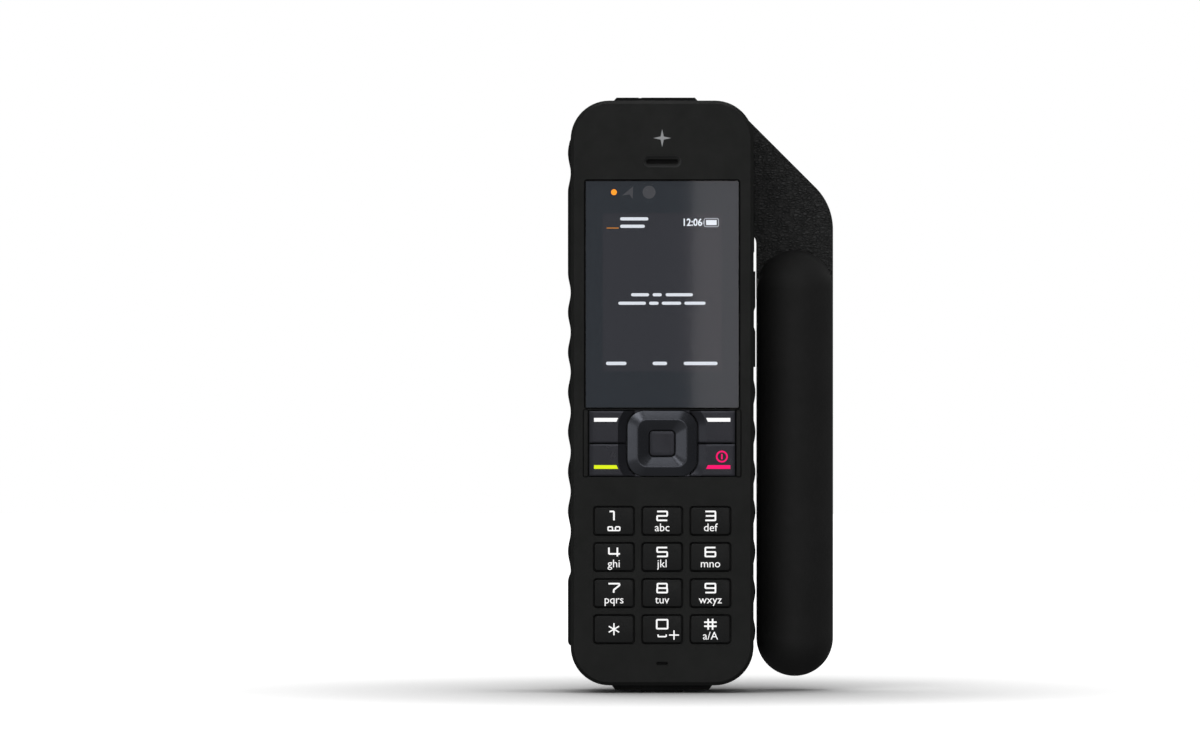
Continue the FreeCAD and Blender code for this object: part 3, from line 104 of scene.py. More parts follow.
class Recipe:
    """The nodes of a material, or of the world, written as a few chained steps."""

    def __init__(self, name, kind="Material"):
        self.owner = (bpy.data.worlds if kind == "World" else bpy.data.materials).new(name)
        self.owner.use_nodes = True
        self.tree = self.owner.node_tree
        self.tree.nodes.clear()
        self.output = self.node(f"Output{kind}")
        self.places = self.node("TexCoord").outputs
        self.place = self.places["Object"]

    def node(self, kind, **settings):
        made = self.tree.nodes.new(f"ShaderNode{kind}")
        for key, value in settings.items():
            setattr(made, key, value)
        return made

    def feed(self, target, value):
        """Links an input to a socket, or sets it to a plain value."""
        if isinstance(value, bpy.types.NodeSocket):
            self.tree.links.new(value, target)
        else:
            target.default_value = value

    def fill(self, node, **values):
        """Feeds inputs by name; a name's underscores stand for spaces."""
        for key, value in values.items():
            self.feed(node.inputs[key.replace("_", " ")], value)
        return node

    def join(self, node, *values):
        """Feeds a node's first inputs, in order."""
        for target, value in zip(node.inputs, values):
            self.feed(target, value)
        return node

    def mapped(self, **values):
        """Object coordinates turned or scaled, for a grain with a direction."""
        return self.fill(self.node("Mapping"), Vector=self.place, **values).outputs["Vector"]

    def noise(self, grain, detail=2.0, vector=None, distortion=0.0):
        """Noise whose features are about grain metres across."""
        made = self.node("TexNoise")
        self.fill(made, Vector=vector or self.place, Scale=1 / grain, Detail=detail, Distortion=distortion)
        return made.outputs["Fac"]

    def cells(self, grain, vector=None, feature="DISTANCE_TO_EDGE"):
        made = self.node("TexVoronoi", feature=feature)
        return self.fill(made, Vector=vector or self.place, Scale=1 / grain).outputs["Distance"]

    def math(self, operation, *values):
        return self.join(self.node("Math", operation=operation), *values).outputs[0]

    def spread(self, value, low, high, from_low=0.3, from_high=0.7):
        """Maps a value onto the range low to high."""
        made = self.node("MapRange")
        self.fill(made, Value=value, From_Min=from_low, From_Max=from_high, To_Min=low, To_Max=high)
        return made.outputs["Result"]

    def mix(self, share, first, second):
        """Blend of two colours."""
        made = self.node("Mix", data_type="RGBA")
        for number, value in ((0, share), (6, first), (7, second)):
            self.feed(made.inputs[number], value)
        return made.outputs[2]

    def along(self, first, second):
        """Dot product of two directions."""
        return self.join(self.node("VectorMath", operation="DOT_PRODUCT"), first, second).outputs["Value"]

    def bump(self, height, depth):
        return self.fill(self.node("Bump"), Height=height, Distance=depth, Strength=1.0).outputs["Normal"]

    def edges(self, radius):
        """1 near an outside edge and 0 on flat ground."""
        rounded = self.fill(self.node("Bevel", samples=4), Radius=radius)
        likeness = self.along(rounded.outputs["Normal"], self.node("NewGeometry").outputs["Normal"])
        return self.spread(likeness, 1.0, 0.0, 0.8, 0.99)

    def finish(self, shader):
        self.feed(self.output.inputs["Surface"], shader)
        return self.owner

    def surface(self, **values):
        """Ends the recipe with the principled shader."""
        return self.finish(self.fill(self.node("BsdfPrincipled"), **values).outputs["BSDF"])


def colour(red, green, blue):
    """Linear colour from the 0 to 255 values of a paint card."""
    def linear(value):
        share = value / 255
        return share / 12.92 if share <= 0.04045 else ((share + 0.055) / 1.055) ** 2.4
    return (linear(red), linear(green), linear(blue), 1.0)


def lighter(tone, factor):
    return tuple(min(1.0, channel * factor) for channel in tone[:3]) + (1.0,)


# -------- the finishes

def moulded(name, tone, roughness, grain, depth, specular=0.3, edge_wear_and_highlight=1.6, metallic=0.0, patchy=0.06):
    """Moulded plastic or rubber: spark-eroded grain, uneven gloss, and edges a little paler, partly from wear
    and partly as a painted highlight.
    """
    recipe = Recipe(name)
    patches = recipe.spread(recipe.noise(18 * MM, 3.0), 0.0, 1.0)
    base = recipe.mix(patches, lighter(tone, 0.9), lighter(tone, 1.12))
    rubs_and_highlight = recipe.spread(recipe.noise(2 * MM, 4.0), 0.0, 0.7)
    # Paler edges: partly rubbed wear, partly a painted highlight along the edges.
    base = recipe.mix(recipe.math("MULTIPLY", recipe.edges(0.25 * MM), rubs_and_highlight), base, lighter(tone, edge_wear_and_highlight))
    gloss = recipe.spread(recipe.noise(5 * MM, 4.0), roughness - patchy, roughness + patchy)
    return recipe.surface(Base_Color=base, Roughness=gloss, Metallic=metallic, Specular_IOR_Level=specular,
                          Normal=recipe.bump(recipe.noise(grain, 3.0), depth))


def leather_grain(name, tone, roughness):
    """Soft skin with a wrinkled leather grain: fine cells, longer across the arm than along it."""
    recipe = Recipe(name)
    warp = recipe.fill(recipe.node("TexNoise"), Vector=recipe.place, Scale=1 / (2.4 * MM), Detail=2.0)
    shifted = recipe.join(recipe.node("VectorMath", operation="MULTIPLY_ADD"), warp.outputs["Color"],
                          (0.9 * MM,) * 3, recipe.mapped(Scale=(0.66, 1.0, 1.25))).outputs[0]
    pebbles_and_crease_shade = recipe.spread(recipe.cells(0.85 * MM, shifted), 0.0, 1.0, 0.0, 0.3)
    wrinkles = recipe.noise(1.0 * MM, 4.0, shifted, distortion=0.8)
    height = recipe.math("ADD", recipe.math("MULTIPLY", pebbles_and_crease_shade, 0.6), recipe.math("MULTIPLY", wrinkles, 0.9))
    # The base colour is darker along the cells' edges, in the grain's creases: painted shade.
    return recipe.surface(
        Base_Color=recipe.mix(pebbles_and_crease_shade, lighter(tone, 0.55), lighter(tone, 1.22)), Specular_IOR_Level=0.6,
        Roughness=recipe.spread(wrinkles, roughness - 0.1, roughness + 0.1),
        Normal=recipe.bump(height, 0.3 * MM))


def smoked_glass(name, tint):
    """The window: clear to what lies behind it, and glossy in front. Light passes straight through."""
    recipe = Recipe(name)
    clear = recipe.fill(recipe.node("BsdfTransparent"), Color=tint)
    smear = recipe.spread(recipe.noise(14 * MM), 0.024, 0.03)
    gloss = recipe.fill(recipe.node("BsdfGlossy"), Color=WHITE, Roughness=smear)
    bend = recipe.fill(recipe.node("Fresnel"), IOR=1.5)
    front_only = recipe.math("SUBTRACT", 1.0, recipe.node("NewGeometry").outputs["Backfacing"])
    share = recipe.math("MULTIPLY", bend.outputs["Fac"], front_only)
    blend = recipe.join(recipe.node("MixShader"), share, clear.outputs["BSDF"], gloss.outputs["BSDF"])
    return recipe.finish(blend.outputs["Shader"])


def glowing(name, tone, strength, speckle=0.04):
    """A lamp, or a print given a painted glow: a coloured base that also gives light, a little unevenly."""
    recipe = Recipe(name)
    uneven = recipe.noise(0.6 * MM)
    shade = recipe.mix(recipe.spread(uneven, 0.0, 1.0), lighter(tone, 1 - speckle), tone)
    return recipe.surface(
        Base_Color=lighter(tone, 0.5), Roughness=0.45, Specular_IOR_Level=0.2, Emission_Color=shade,
        Emission_Strength=strength, Normal=recipe.bump(uneven, 0.004 * MM))


def lit_picture(name, tone, strength, pitch):
    """The display's backlit dark field, with its faint grid of dots."""
    recipe = Recipe(name)
    grid = recipe.fill(
        recipe.node("TexBrick", offset=0.0, squash=1.0), Scale=1 / pitch, Mortar_Size=0.08,
        Vector=recipe.mapped(Rotation=(radians(90), 0, 0)), Brick_Width=1.0, Row_Height=1.0,
        Color1=tone, Color2=lighter(tone, 0.97), Mortar=lighter(tone, 0.8))
    return recipe.surface(
        Base_Color=lighter(tone, 0.3), Roughness=0.5, Specular_IOR_Level=0.1,
        Emission_Color=grid.outputs["Color"], Emission_Strength=strength)


def brushed_metal(name, tone, roughness):
    """Plain metal with fine lines along Z and small scratches."""
    recipe = Recipe(name)
    lines = recipe.noise(0.3 * MM, 3.0, recipe.mapped(Scale=(1.0, 1.0, 0.08)))
    stains = recipe.spread(recipe.noise(6 * MM, 4.0), 0.0, 1.0)
    return recipe.surface(
        Base_Color=recipe.mix(stains, lighter(tone, 0.86), tone), Metallic=1.0,
        Roughness=recipe.spread(lines, roughness - 0.05, roughness + 0.1),
        Normal=recipe.bump(lines, 0.01 * MM))


def woven_mesh(name, tone, pitch):
    """Fine wire mesh: two crossing waves make the wires; the colour is much darker between them, painted
    shade in the openings.
    """
    recipe = Recipe(name)
    waves = []
    for direction in ("X", "Z"):
        wave = recipe.node("TexWave", bands_direction=direction)
        waves.append(recipe.fill(wave, Vector=recipe.place, Scale=0.5 / pitch).outputs["Fac"])
    weave_and_gap_shade = recipe.math("MAXIMUM", *waves)
    return recipe.surface(Base_Color=recipe.mix(weave_and_gap_shade, lighter(tone, 0.2), tone), Metallic=0.6, Roughness=0.5,
                          Normal=recipe.bump(weave_and_gap_shade, 0.05 * MM))


def board_lacquer(name, tone, trace_tone):
    """Circuit board: lacquer over faint square tracks."""
    recipe = Recipe(name)
    tracks = recipe.math("MULTIPLY", recipe.cells(3.2 * MM, feature="F1"), 900.0)
    lines = recipe.spread(recipe.math("FRACT", tracks), 0.0, 1.0, 0.35, 0.45)
    return recipe.surface(
        Base_Color=recipe.mix(lines, trace_tone, tone), Coat_Weight=0.4,
        Roughness=recipe.spread(recipe.noise(2 * MM), 0.3, 0.42), Normal=recipe.bump(lines, 0.02 * MM))


# Name, tone, roughness, size and depth of the grain in millimetres; then, where they aren't the
# usual ones, the specular level, how much paler the edges are (wear and painted highlight), the metallic
# share and patchiness.
MOULDED = (
    ("case_plastic", (30, 31, 30), 0.58, 0.32, 0.02),
    ("key_plastic", (24, 25, 25), 0.5, 0.3, 0.012),
    ("function_key_plastic", (58, 59, 65), 0.3, 0.2, 0.006, 0.5, 1.6, 0.7, 0.03),
    ("nav_metallic", (80, 82, 88), 0.24, 0.16, 0.003, 0.5, 1.6, 0.9, 0.02),
    ("grip_rubber", (17, 18, 18), 0.72, 0.45, 0.03, 0.2),
    ("cover_rubber", (20, 21, 21), 0.66, 0.4, 0.025, 0.22),
    # edge_black also serves as the painted shade of deep gaps.
    ("edge_black", (5, 5, 6), 0.6, 0.5, 0.01, 0.1),
    ("seal_rubber", (12, 12, 12), 0.6, 0.5, 0.02, 0.2),
    ("radome_skin", (38, 38, 38), 0.66, 0.22, 0.012, 0.22),
    ("component_black", (22, 22, 23), 0.5, 0.6, 0.02),
    ("silicone", (70, 72, 76), 0.6, 0.8, 0.02),
    ("bearing_plastic", (90, 90, 86), 0.4, 0.5, 0.01),
    ("button_red", (190, 24, 20), 0.4, 0.5, 0.012, 0.3, 1.2),
    ("ceramic_patch", (196, 190, 172), 0.45, 0.4, 0.015, 0.3, 1.1),
    ("battery_wrap", (44, 46, 50), 0.42, 1.2, 0.015),
    ("card_plastic", (214, 214, 210), 0.42, 0.5, 0.008, 0.3, 1.1),
    ("display_panel", (20, 21, 23), 0.4, 0.5, 0.008),
    ("indicator", (20, 21, 23), 0.4, 0.5, 0.008),
    # earpiece_satin: a paler copy of the case plastic, a painted highlight for the dish's lit slopes.
    ("earpiece_satin", (46, 47, 47), 0.5, 0.3, 0.01, 0.4),
)
SPECIAL = (
    (leather_grain, "arm_skin", colour(36, 37, 37), 0.5),
    (smoked_glass, "window_glass", (0.86, 0.88, 0.9, 1.0)),
    (woven_mesh, "fine_mesh", colour(46, 46, 46), 0.25 * MM),
    (board_lacquer, "circuit_board", colour(22, 62, 40), colour(36, 92, 58)),
    (brushed_metal, "screw_steel", colour(150, 150, 152), 0.32),
    (brushed_metal, "connector_metal", colour(176, 172, 160), 0.28),
    (lit_picture, "picture_field", colour(57, 57, 63), 0.75, 0.21 * MM),
)
# The status lamp and the picture's entries are lamps; the key prints, bars, lamp rim, icons, window border
# and emblem glow though they are no lamps: painted light.
LIT = (  # name, tone, brightness, and the speckle where it isn't the usual one
    ("legend_white", (252, 252, 252), 0.85),
    ("bar_lime", (226, 244, 24), 0.8),
    ("bar_pink", (255, 14, 112), 0.8),
    ("lamp_orange", (252, 152, 30), 1.2),
    ("lamp_rim", (16, 24, 56), 0.4),
    ("icon_grey", (76, 76, 80), 0.6),
    ("mask_slate", (45, 50, 57), 0.55, 0.02),
    ("picture_white", (250, 250, 252), 1.0),
    ("picture_orange", (214, 132, 44), 0.9),
    ("picture_soft", (238, 238, 241), 1.0),
    ("picture_rim", (178, 178, 182), 0.9),
    ("emblem_grey", (176, 178, 180), 0.35),
)
FINISHES = {name: moulded(name, colour(*tone), roughness, grain * MM, depth * MM, *more)
            for name, tone, roughness, grain, depth, *more in MOULDED}
FINISHES.update({name: make(name, *values) for make, name, *values in SPECIAL})
FINISHES.update({name: glowing(name, colour(*tone), *values) for name, tone, *values in LIT})


def dress_frame():
    """Every node of the frame gets the finish of its material slot."""
    for node in frame["nodes"].values():
        for place in node.material_slots:
            place.material = FINISHES[place.material.name.split(".")[0]]


def soften_edges(node, width):
    """A small bevel on the sharp edges of a carried-over node."""
    piece = frame["nodes"][node]
    bevel = piece.modifiers.new("edge_softening", "BEVEL")
    bevel.width = width
    bevel.segments = 3
    bevel.limit_method = "ANGLE"
    bevel.angle_limit = radians(38)


# -------- building blocks of a mesh

class Skin:
    """Vertices and faces gathered for one piece."""

    def __init__(self):
        self.vertices = []
        self.faces = []

    def add(self, vertices, faces):
        start = len(self.vertices)
        self.vertices += [Vector(vertex) for vertex in vertices]
        self.faces += [tuple(start + corner for corner in face) for face in faces]
        return self

    def loft(self, rings, wrap=False):
        """A skin through rings of equal count. The ends are filled, or the last ring joins the first."""
        count = len(rings[0])
        levels = len(rings)
        faces = []
        for level in range(levels if wrap else levels - 1):
            here, there = level * count, (level + 1) % levels * count
            for step in range(count):
                after = (step + 1) % count
                faces.append((here + step, here + after, there + after, there + step))
        if not wrap:
            faces += [tuple(range(count)), tuple(range((levels - 1) * count, levels * count))]
        return self.add([point for ring in rings for point in ring], faces)

    def grid(self, front, back, kept=None):
        """A closed solid between two sheets sampled on one grid. Cells that kept refuses stay open."""
        rows, columns = len(front), len(front[0])
        cells = {(row, column) for row in range(rows - 1) for column in range(columns - 1)
                 if kept is None or kept(row, column)}
        shift = rows * columns
        faces = []
        for row, column in sorted(cells):
            corners = [(row, column), (row, column + 1), (row + 1, column + 1), (row + 1, column)]
            flat = [r * columns + c for r, c in corners]
            faces.append(tuple(flat))
            faces.append(tuple(corner + shift for corner in reversed(flat)))
            beside = [(row - 1, column), (row, column + 1), (row + 1, column), (row, column - 1)]
            for side, neighbour in enumerate(beside):
                if neighbour not in cells:
                    first, second = flat[side], flat[(side + 1) % 4]
                    faces.append((first, second, second + shift, first + shift))
        points = [point for row in front for point in row] + [point for row in back for point in row]
        used = sorted({corner for face in faces for corner in face})
        number = {old: new for new, old in enumerate(used)}
        return self.add([points[old] for old in used],
                        [tuple(number[corner] for corner in face) for face in faces])

    def piece(self, name, finish, slot=None, body=HANDSET, replaced=None, sharp=32):
        """Makes the object, and lets it ride on its body, in the place of a replaced node."""
        shell = bmesh.new()
        corners = [shell.verts.new(vertex) for vertex in self.vertices]
        for face in self.faces:
            shell.faces.new([corners[corner] for corner in face])
        bmesh.ops.recalc_face_normals(shell, faces=shell.faces)
        data = bpy.data.meshes.new(name)
        shell.to_mesh(data)
        shell.free()
        data.materials.append(FINISHES[finish])
        data.shade_smooth()
        data.set_sharp_from_angle(angle=radians(sharp))
        made = put_in_scene(name, data)
        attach(made, body)
        if replaced:
            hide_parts(replaced)

    def stand_in(self, name, finish, slot, node, sharp=32):
        """Makes the object that replaces a node."""
        self.piece(name, finish, slot, body_of(node), node, sharp)


def rounded_ring(centre, half_wide, half_high, radius, depth, steps=8):
    """Points of a rounded rectangle in the front view, at one depth."""
    points = []
    for quarter, (across, up) in enumerate(((1, 1), (-1, 1), (-1, -1), (1, -1))):
        for step in range(steps + 1):
            angle = radians(90 * (quarter + step / steps))
            points.append(Vector((centre.x + across * (half_wide - radius) + radius * cos(angle), depth,
                                  centre.z + up * (half_high - radius) + radius * sin(angle))))
    return points


def outline_distance(across, up, half_wide, half_high, radius):
    """Distance outside a rounded rectangle centred on zero; negative inside."""
    over = max(abs(across) - half_wide + radius, 0.0)
    above = max(abs(up) - half_high + radius, 0.0)
    inside = min(max(abs(across) - half_wide, abs(up) - half_high), 0.0)
    return hypot(over, above) - radius if over or above else inside


def edge_drop(distance, radius):
    """How far a rounded edge falls away at this distance from the edge."""
    if distance >= radius:
        return 0.0
    short = radius - max(distance, 0.0)
    return radius - sqrt(radius ** 2 - short ** 2)


def between(low, high, steps):
    return [low + (high - low) * step / steps for step in range(steps + 1)]


def edge_samples(low, high, radius, steps):
    """Samples that are dense at both rounded ends."""
    shares = (0.0, 0.06, 0.2, 0.45, 1.0)
    near = [low + radius * share for share in shares]
    far = [high - radius * share for share in reversed(shares)]
    return near[:-1] + between(near[-1], far[0], steps) + far[1:]


# -------- strokes and prints

INK_PROUD = 0.02 * MM
INK_SUNK = 0.06 * MM


def soft_corners(points, radius, closed, steps=4):
    """A path with each inner corner replaced by a short curve."""
    count = len(points)
    made = []
    for index, corner in enumerate(points):
        if not closed and index in (0, count - 1):
            made.append(corner)
            continue
        before = points[index - 1] - corner
        after = points[(index + 1) % count] - corner
        reach = min(radius, before.length / 2.05, after.length / 2.05)
        start = corner + before.normalized() * reach
        end = corner + after.normalized() * reach
        for step in range(steps + 1):
            share = step / steps
            made.append(start.lerp(corner, share).lerp(corner.lerp(end, share), share))
    return made


def stroke(skin, path, width, centre, front, closed=False, corner=0.25 * MM):
    """Adds a flat printed stroke. The path is in metres in the front view, from the centre."""
    points = soft_corners([Vector(point) for point in path], corner, closed)
    count = len(points)
    rails = []
    for index, point in enumerate(points):
        before = points[index - 1] if index or closed else None
        after = points[(index + 1) % count] if index < count - 1 or closed else None
        into = (point - before).normalized() if before is not None else (after - point).normalized()
        out = (after - point).normalized() if after is not None else into
        along = (into + out).normalized()
        across = Vector((-along.y, along.x)) * (width / 2 / max(along.dot(into), 0.5))
        rails.append((point + across, point - across))
    spots = []
    for depth in (front - INK_PROUD, front + INK_SUNK):
        spots += [Vector((centre.x + spot.x, depth, centre.z + spot.y)) for pair in rails for spot in pair]
    back = 2 * count
    faces = []
    for index in range(count if closed else count - 1):
        a, b = 2 * index, 2 * index + 1
        c, d = 2 * ((index + 1) % count), 2 * ((index + 1) % count) + 1
        faces += [(a, b, d, c), (a + back, c + back, d + back, b + back), (a, c, c + back, a + back),
                  (b, b + back, d + back, d)]
    if not closed:
        last = 2 * count - 2
        faces += [(0, back, back + 1, 1), (last, last + 1, last + 1 + back, last + back)]
    skin.add(spots, faces)


def patch(skin, outline, centre, front):
    """Adds a flat printed area with the outline given, in metres from the centre."""
    count = len(outline)
    spots = [Vector((centre.x + across, depth, centre.z + up))
             for depth in (front - INK_PROUD, front + INK_SUNK) for across, up in outline]
    faces = [tuple(range(count)), tuple(range(2 * count - 1, count - 1, -1))]
    faces += [(step, (step + 1) % count, (step + 1) % count + count, step + count) for step in range(count)]
    skin.add(spots, faces)


def disc_outline(radius, steps=32):
    return [(radius * cos(tau * step / steps), radius * sin(tau * step / steps))
            for step in range(steps)]


def letters(skin, text, small_height, centre, front, bold=0.0, squeeze=1.0):
    """Adds plain printed letters, sized by the height of a small x."""
    def flat(words):
        curve = bpy.data.curves.new("type", "FONT")
        curve.body = words
        curve.offset = bold
        curve.align_x = "CENTER"
        curve.resolution_u = 3
        holder = put_in_scene("type", curve)
        bpy.context.view_layer.update()
        data = bpy.data.meshes.new_from_object(holder.evaluated_get(bpy.context.evaluated_depsgraph_get()))
        bpy.data.objects.remove(holder)
        bpy.data.curves.remove(curve)
        return data
    ruler = flat("x")
    scale = small_height / max(vertex.co.y for vertex in ruler.vertices)
    data = flat(text)
    sheet = bmesh.new()
    sheet.from_mesh(data)
    bmesh.ops.remove_doubles(sheet, verts=sheet.verts, dist=1e-5)
    sheet.verts.ensure_lookup_table()
    spots = [Vector((centre.x + vertex.co.x * scale * squeeze, depth, centre.z + vertex.co.y * scale))
             for depth in (front - INK_PROUD, front + INK_SUNK) for vertex in sheet.verts]
    count = len(sheet.verts)
    faces = []
    for face in sheet.faces:
        corners = tuple(vertex.index for vertex in face.verts)
        faces += [corners, tuple(corner + count for corner in reversed(corners))]
    for edge in sheet.edges:
        if edge.is_boundary:
            a, b = (vertex.index for vertex in edge.verts)
            faces.append((a, b, b + count, a + count))
    sheet.free()
    skin.add(spots, faces)


# -------- number keys

KEY_FOOT_WIDER = 0.72 * MM
KEY_FOOT_TALLER = 0.71 * MM
KEY_CORNER = 0.8 * MM
KEY_FOOT_DEEP = 0.6 * MM
KEY_EDGE = 0.18 * MM
RIM_TURNS = (0, 22.5, 45, 67.5, 90)

WIDE = 1.425 * MM
TALL = 1.26 * MM
STROKE = 0.46 * MM
DIGIT_UP = 1.42 * MM
LETTER_DOWN = -2.9 * MM
LETTER_HEIGHT = 1.42 * MM
THIN_STROKE = 0.36 * MM
OVERLAP = 0.002 * MM  # crossing strokes lie this much in front of each other
STAR_REACH = 1.7 * MM
REELS_DOWN = -2.2 * MM
SPACE_DOWN = -1.8 * MM
PLUS_SPOT = (3.35 * MM, 0, -1.65 * MM)

# Digit strokes as shares of half the digit's width and height.
DIGITS = {
    "1": [[(-0.85, 1), (0, 1), (0, -1)]],
    "2": [[(-1, 1), (1, 1), (1, 0), (-1, 0), (-1, -1), (1, -1)]],
    "3": [[(-1, 1), (1, 1), (1, -1), (-1, -1)], [(-0.9, 0), (1, 0)]],
    "4": [[(-1, 1), (-1, -0.42), (1.2, -0.42)], [(0.68, 1), (0.68, -1)]],
    "5": [[(1, 1), (-1, 1), (-1, 0), (1, 0), (1, -1), (-1, -1)]],
    "6": [[(1, 1), (-1, 1), (-1, -1), (1, -1), (1, 0), (-1, 0)]],
    "7": [[(-1.1, 1), (1.1, 1), (1.1, 0.62), (-0.05, -0.4), (-0.05, -1.05)]],
    "8": [[(-0.94, 0), (-0.94, 1), (0.94, 1), (0.94, 0)], [(-1, 0), (-1, -1), (1, -1), (1, 0)]],
    "9": [[(-1, -1), (1, -1), (1, 1), (-1, 1), (-1, 0), (1, 0)]],
    "0": [[(-1.08, 1), (1.08, 1), (1.08, -1), (-1.08, -1)]],
    "hash": [[(-0.44, 1.22), (-0.44, -1.22)], [(0.44, 1.22), (0.44, -1.22)],
             [(-1.24, 0.45), (1.24, 0.45)], [(-1.24, -0.45), (1.24, -0.45)]],
}
CLOSED_DIGITS = ("8", "0")
LETTERS = {"2": "abc", "3": "def", "4": "ghi", "5": "jkl", "6": "mno", "7": "pqrs", "8": "tuv", "9": "wxyz",
           "hash": "a/A"}


def rim_rings(centre, wide, tall, corner, face, rim):
    """Rings that round the edge between a key's sides and its face."""
    rings = []
    for turn in map(radians, RIM_TURNS):
        inset = rim * (1 - cos(turn))
        depth = face + rim * (1 - sin(turn))
        rings.append(rounded_ring(centre, wide - inset, tall - inset, corner - inset, depth))
    return rings


def key_cap(node):
    """A key with its foot and a rounded rim."""
    low, high, centre, foot_wide, foot_high = measures(node)
    wide, tall = foot_wide - KEY_FOOT_WIDER, foot_high - KEY_FOOT_TALLER
    step_y = high.y - KEY_FOOT_DEEP
    rings = [rounded_ring(centre, foot_wide, foot_high, KEY_CORNER, high.y),
             rounded_ring(centre, foot_wide, foot_high, KEY_CORNER, step_y),
             rounded_ring(centre, wide, tall, KEY_CORNER, step_y)]
    rings += rim_rings(centre, wide, tall, KEY_CORNER, low.y, KEY_EDGE)
    Skin().loft(rings).stand_in(f"{node}_cap", "key_plastic", "key_plastic", node)
    return centre, low.y


def key_legend(node, mark):
    """The digit and letters printed on one key; the print glows, painted light."""
    centre, face = key_cap(node)
    skin = Skin()
    if mark == "star":
        for number in range(3):
            turn = radians(90 + 60 * number)
            tip = Vector((cos(turn), sin(turn))) * STAR_REACH
            stroke(skin, [-tip, tip], THIN_STROKE, centre, face - number * OVERLAP)
    else:
        spot = centre + Vector((0, 0, DIGIT_UP))
        for number, path in enumerate(DIGITS[mark]):
            points = [(across * WIDE, up * TALL) for across, up in path]
            stroke(skin, points, STROKE, spot, face - number * OVERLAP, mark in CLOSED_DIGITS)
    if mark in LETTERS:
        letters(skin, LETTERS[mark], LETTER_HEIGHT, centre + Vector((0, 0, LETTER_DOWN)), face)
    if mark == "1":
        tape_reels(skin, centre + Vector((0, 0, REELS_DOWN)), face)
    if mark == "0":
        space_and_plus(skin, centre, face)
    skin.piece(f"{node}_legend", "legend_white", body=body_of(node))


def tape_reels(skin, spot, face):
    """The voice mail sign: two reels on one line of tape."""
    half, rise, apart, corner = 0.62 * MM, 0.52 * MM, 1.05 * MM, 0.3 * MM
    for number, side in enumerate((-1, 1)):
        reel = [(side * apart + across * half, up * rise)
                for across, up in ((-1, -1), (-1, 1), (1, 1), (1, -1))]
        stroke(skin, reel, THIN_STROKE, spot, face - number * OVERLAP, True, corner)
    stroke(skin, [(-apart, -rise), (apart, -rise)], THIN_STROKE, spot, face - 2 * OVERLAP)


def space_and_plus(skin, centre, face):
    """The space sign under the zero, and a plus to the right of it."""
    half, top, low, thick = 1.15 * MM, 0.32 * MM, -0.3 * MM, 0.38 * MM
    stroke(skin, [(-half, top), (-half, low), (half, low), (half, top)], thick,
           centre + Vector((0, 0, SPACE_DOWN)), face)
    spot = centre + Vector(PLUS_SPOT)
    wide, high = 1.4 * MM, 1.3 * MM
    stroke(skin, [(-wide, 0), (wide, 0)], THIN_STROKE, spot, face)
    stroke(skin, [(0, -high), (0, high)], THIN_STROKE, spot, face - OVERLAP)


# -------- navigation cluster

RING_CORNER = 4.9 * MM
RING_HOLE = 3.65 * MM
RING_HOLE_CORNER = 1.18 * MM
RING_GROOVE = 0.4 * MM
FLAT_FROM = 2.7 * MM
BAND_DROP = 1.02 * MM
FUNCTION_EDGE = 0.2 * MM
FUNCTION_SHY = 0.08 * MM
FUNCTION_FOOT = 0.5 * MM
FOLD_AFTER = 0.3 * MM
FOLD_SOFT = 0.12 * MM
FLAT_AFTER = 0.5 * MM


def nav_ring():
    """The ring: a raised rounded-square crest between an outer bevel and an inner dish."""
    low, high, centre, wide, tall = measures("nav_ring")
    steps = 12
    profile = (  # inset from the outline, corner radius, depth behind the crest, in millimetres
        (0.0, 4.9, 1.4), (0.0, 4.9, 1.1), (0.08, 4.82, 0.98), (0.22, 4.7, 0.92),
        (2.64, 2.9, 0.06), (2.76, 2.82, 0.015), (2.88, 2.72, 0.0), (3.0, 2.62, 0.015), (3.12, 2.54, 0.06),
        (5.98, 1.36, 1.15), (6.1, 1.28, 1.2), (6.16, 1.22, 1.28),
    )
    squeeze = (tall - RING_HOLE) / (wide - RING_HOLE)
    rings = [rounded_ring(centre, wide - inset * MM, tall - inset * squeeze * MM, corner * MM,
                          low.y + depth * MM, steps) for inset, corner, depth in profile]
    rings.append(rounded_ring(centre, RING_HOLE, RING_HOLE, RING_HOLE_CORNER, high.y, steps))
    Skin().loft(rings, wrap=True).stand_in("nav_ring_cap", "nav_metallic", "nav_metallic", "nav_ring", 24)


def select_key():
    """The middle key: a flat square with a soft rim, on its stem."""
    low, high, centre, half, _ = measures("select_key")
    stem, face_edge = half - 0.7 * MM, half - 1.2 * MM
    plate, rim, sunk = low.y + 0.55 * MM, 0.2 * MM, 0.03 * MM
    small_corner, plate_corner, rim_corner = 0.6 * MM, 1.0 * MM, 1.05 * MM
    rings = [rounded_ring(centre, stem, stem, small_corner, high.y),
             rounded_ring(centre, stem, stem, small_corner, plate),
             rounded_ring(centre, half, half, plate_corner, plate)]
    rings += rim_rings(centre, half, half, rim_corner, low.y, rim)
    rings.append(rounded_ring(centre, face_edge, face_edge, small_corner, low.y + sunk))
    Skin().loft(rings).stand_in("select_key_cap", "function_key_plastic", "nav_metallic", "select_key")


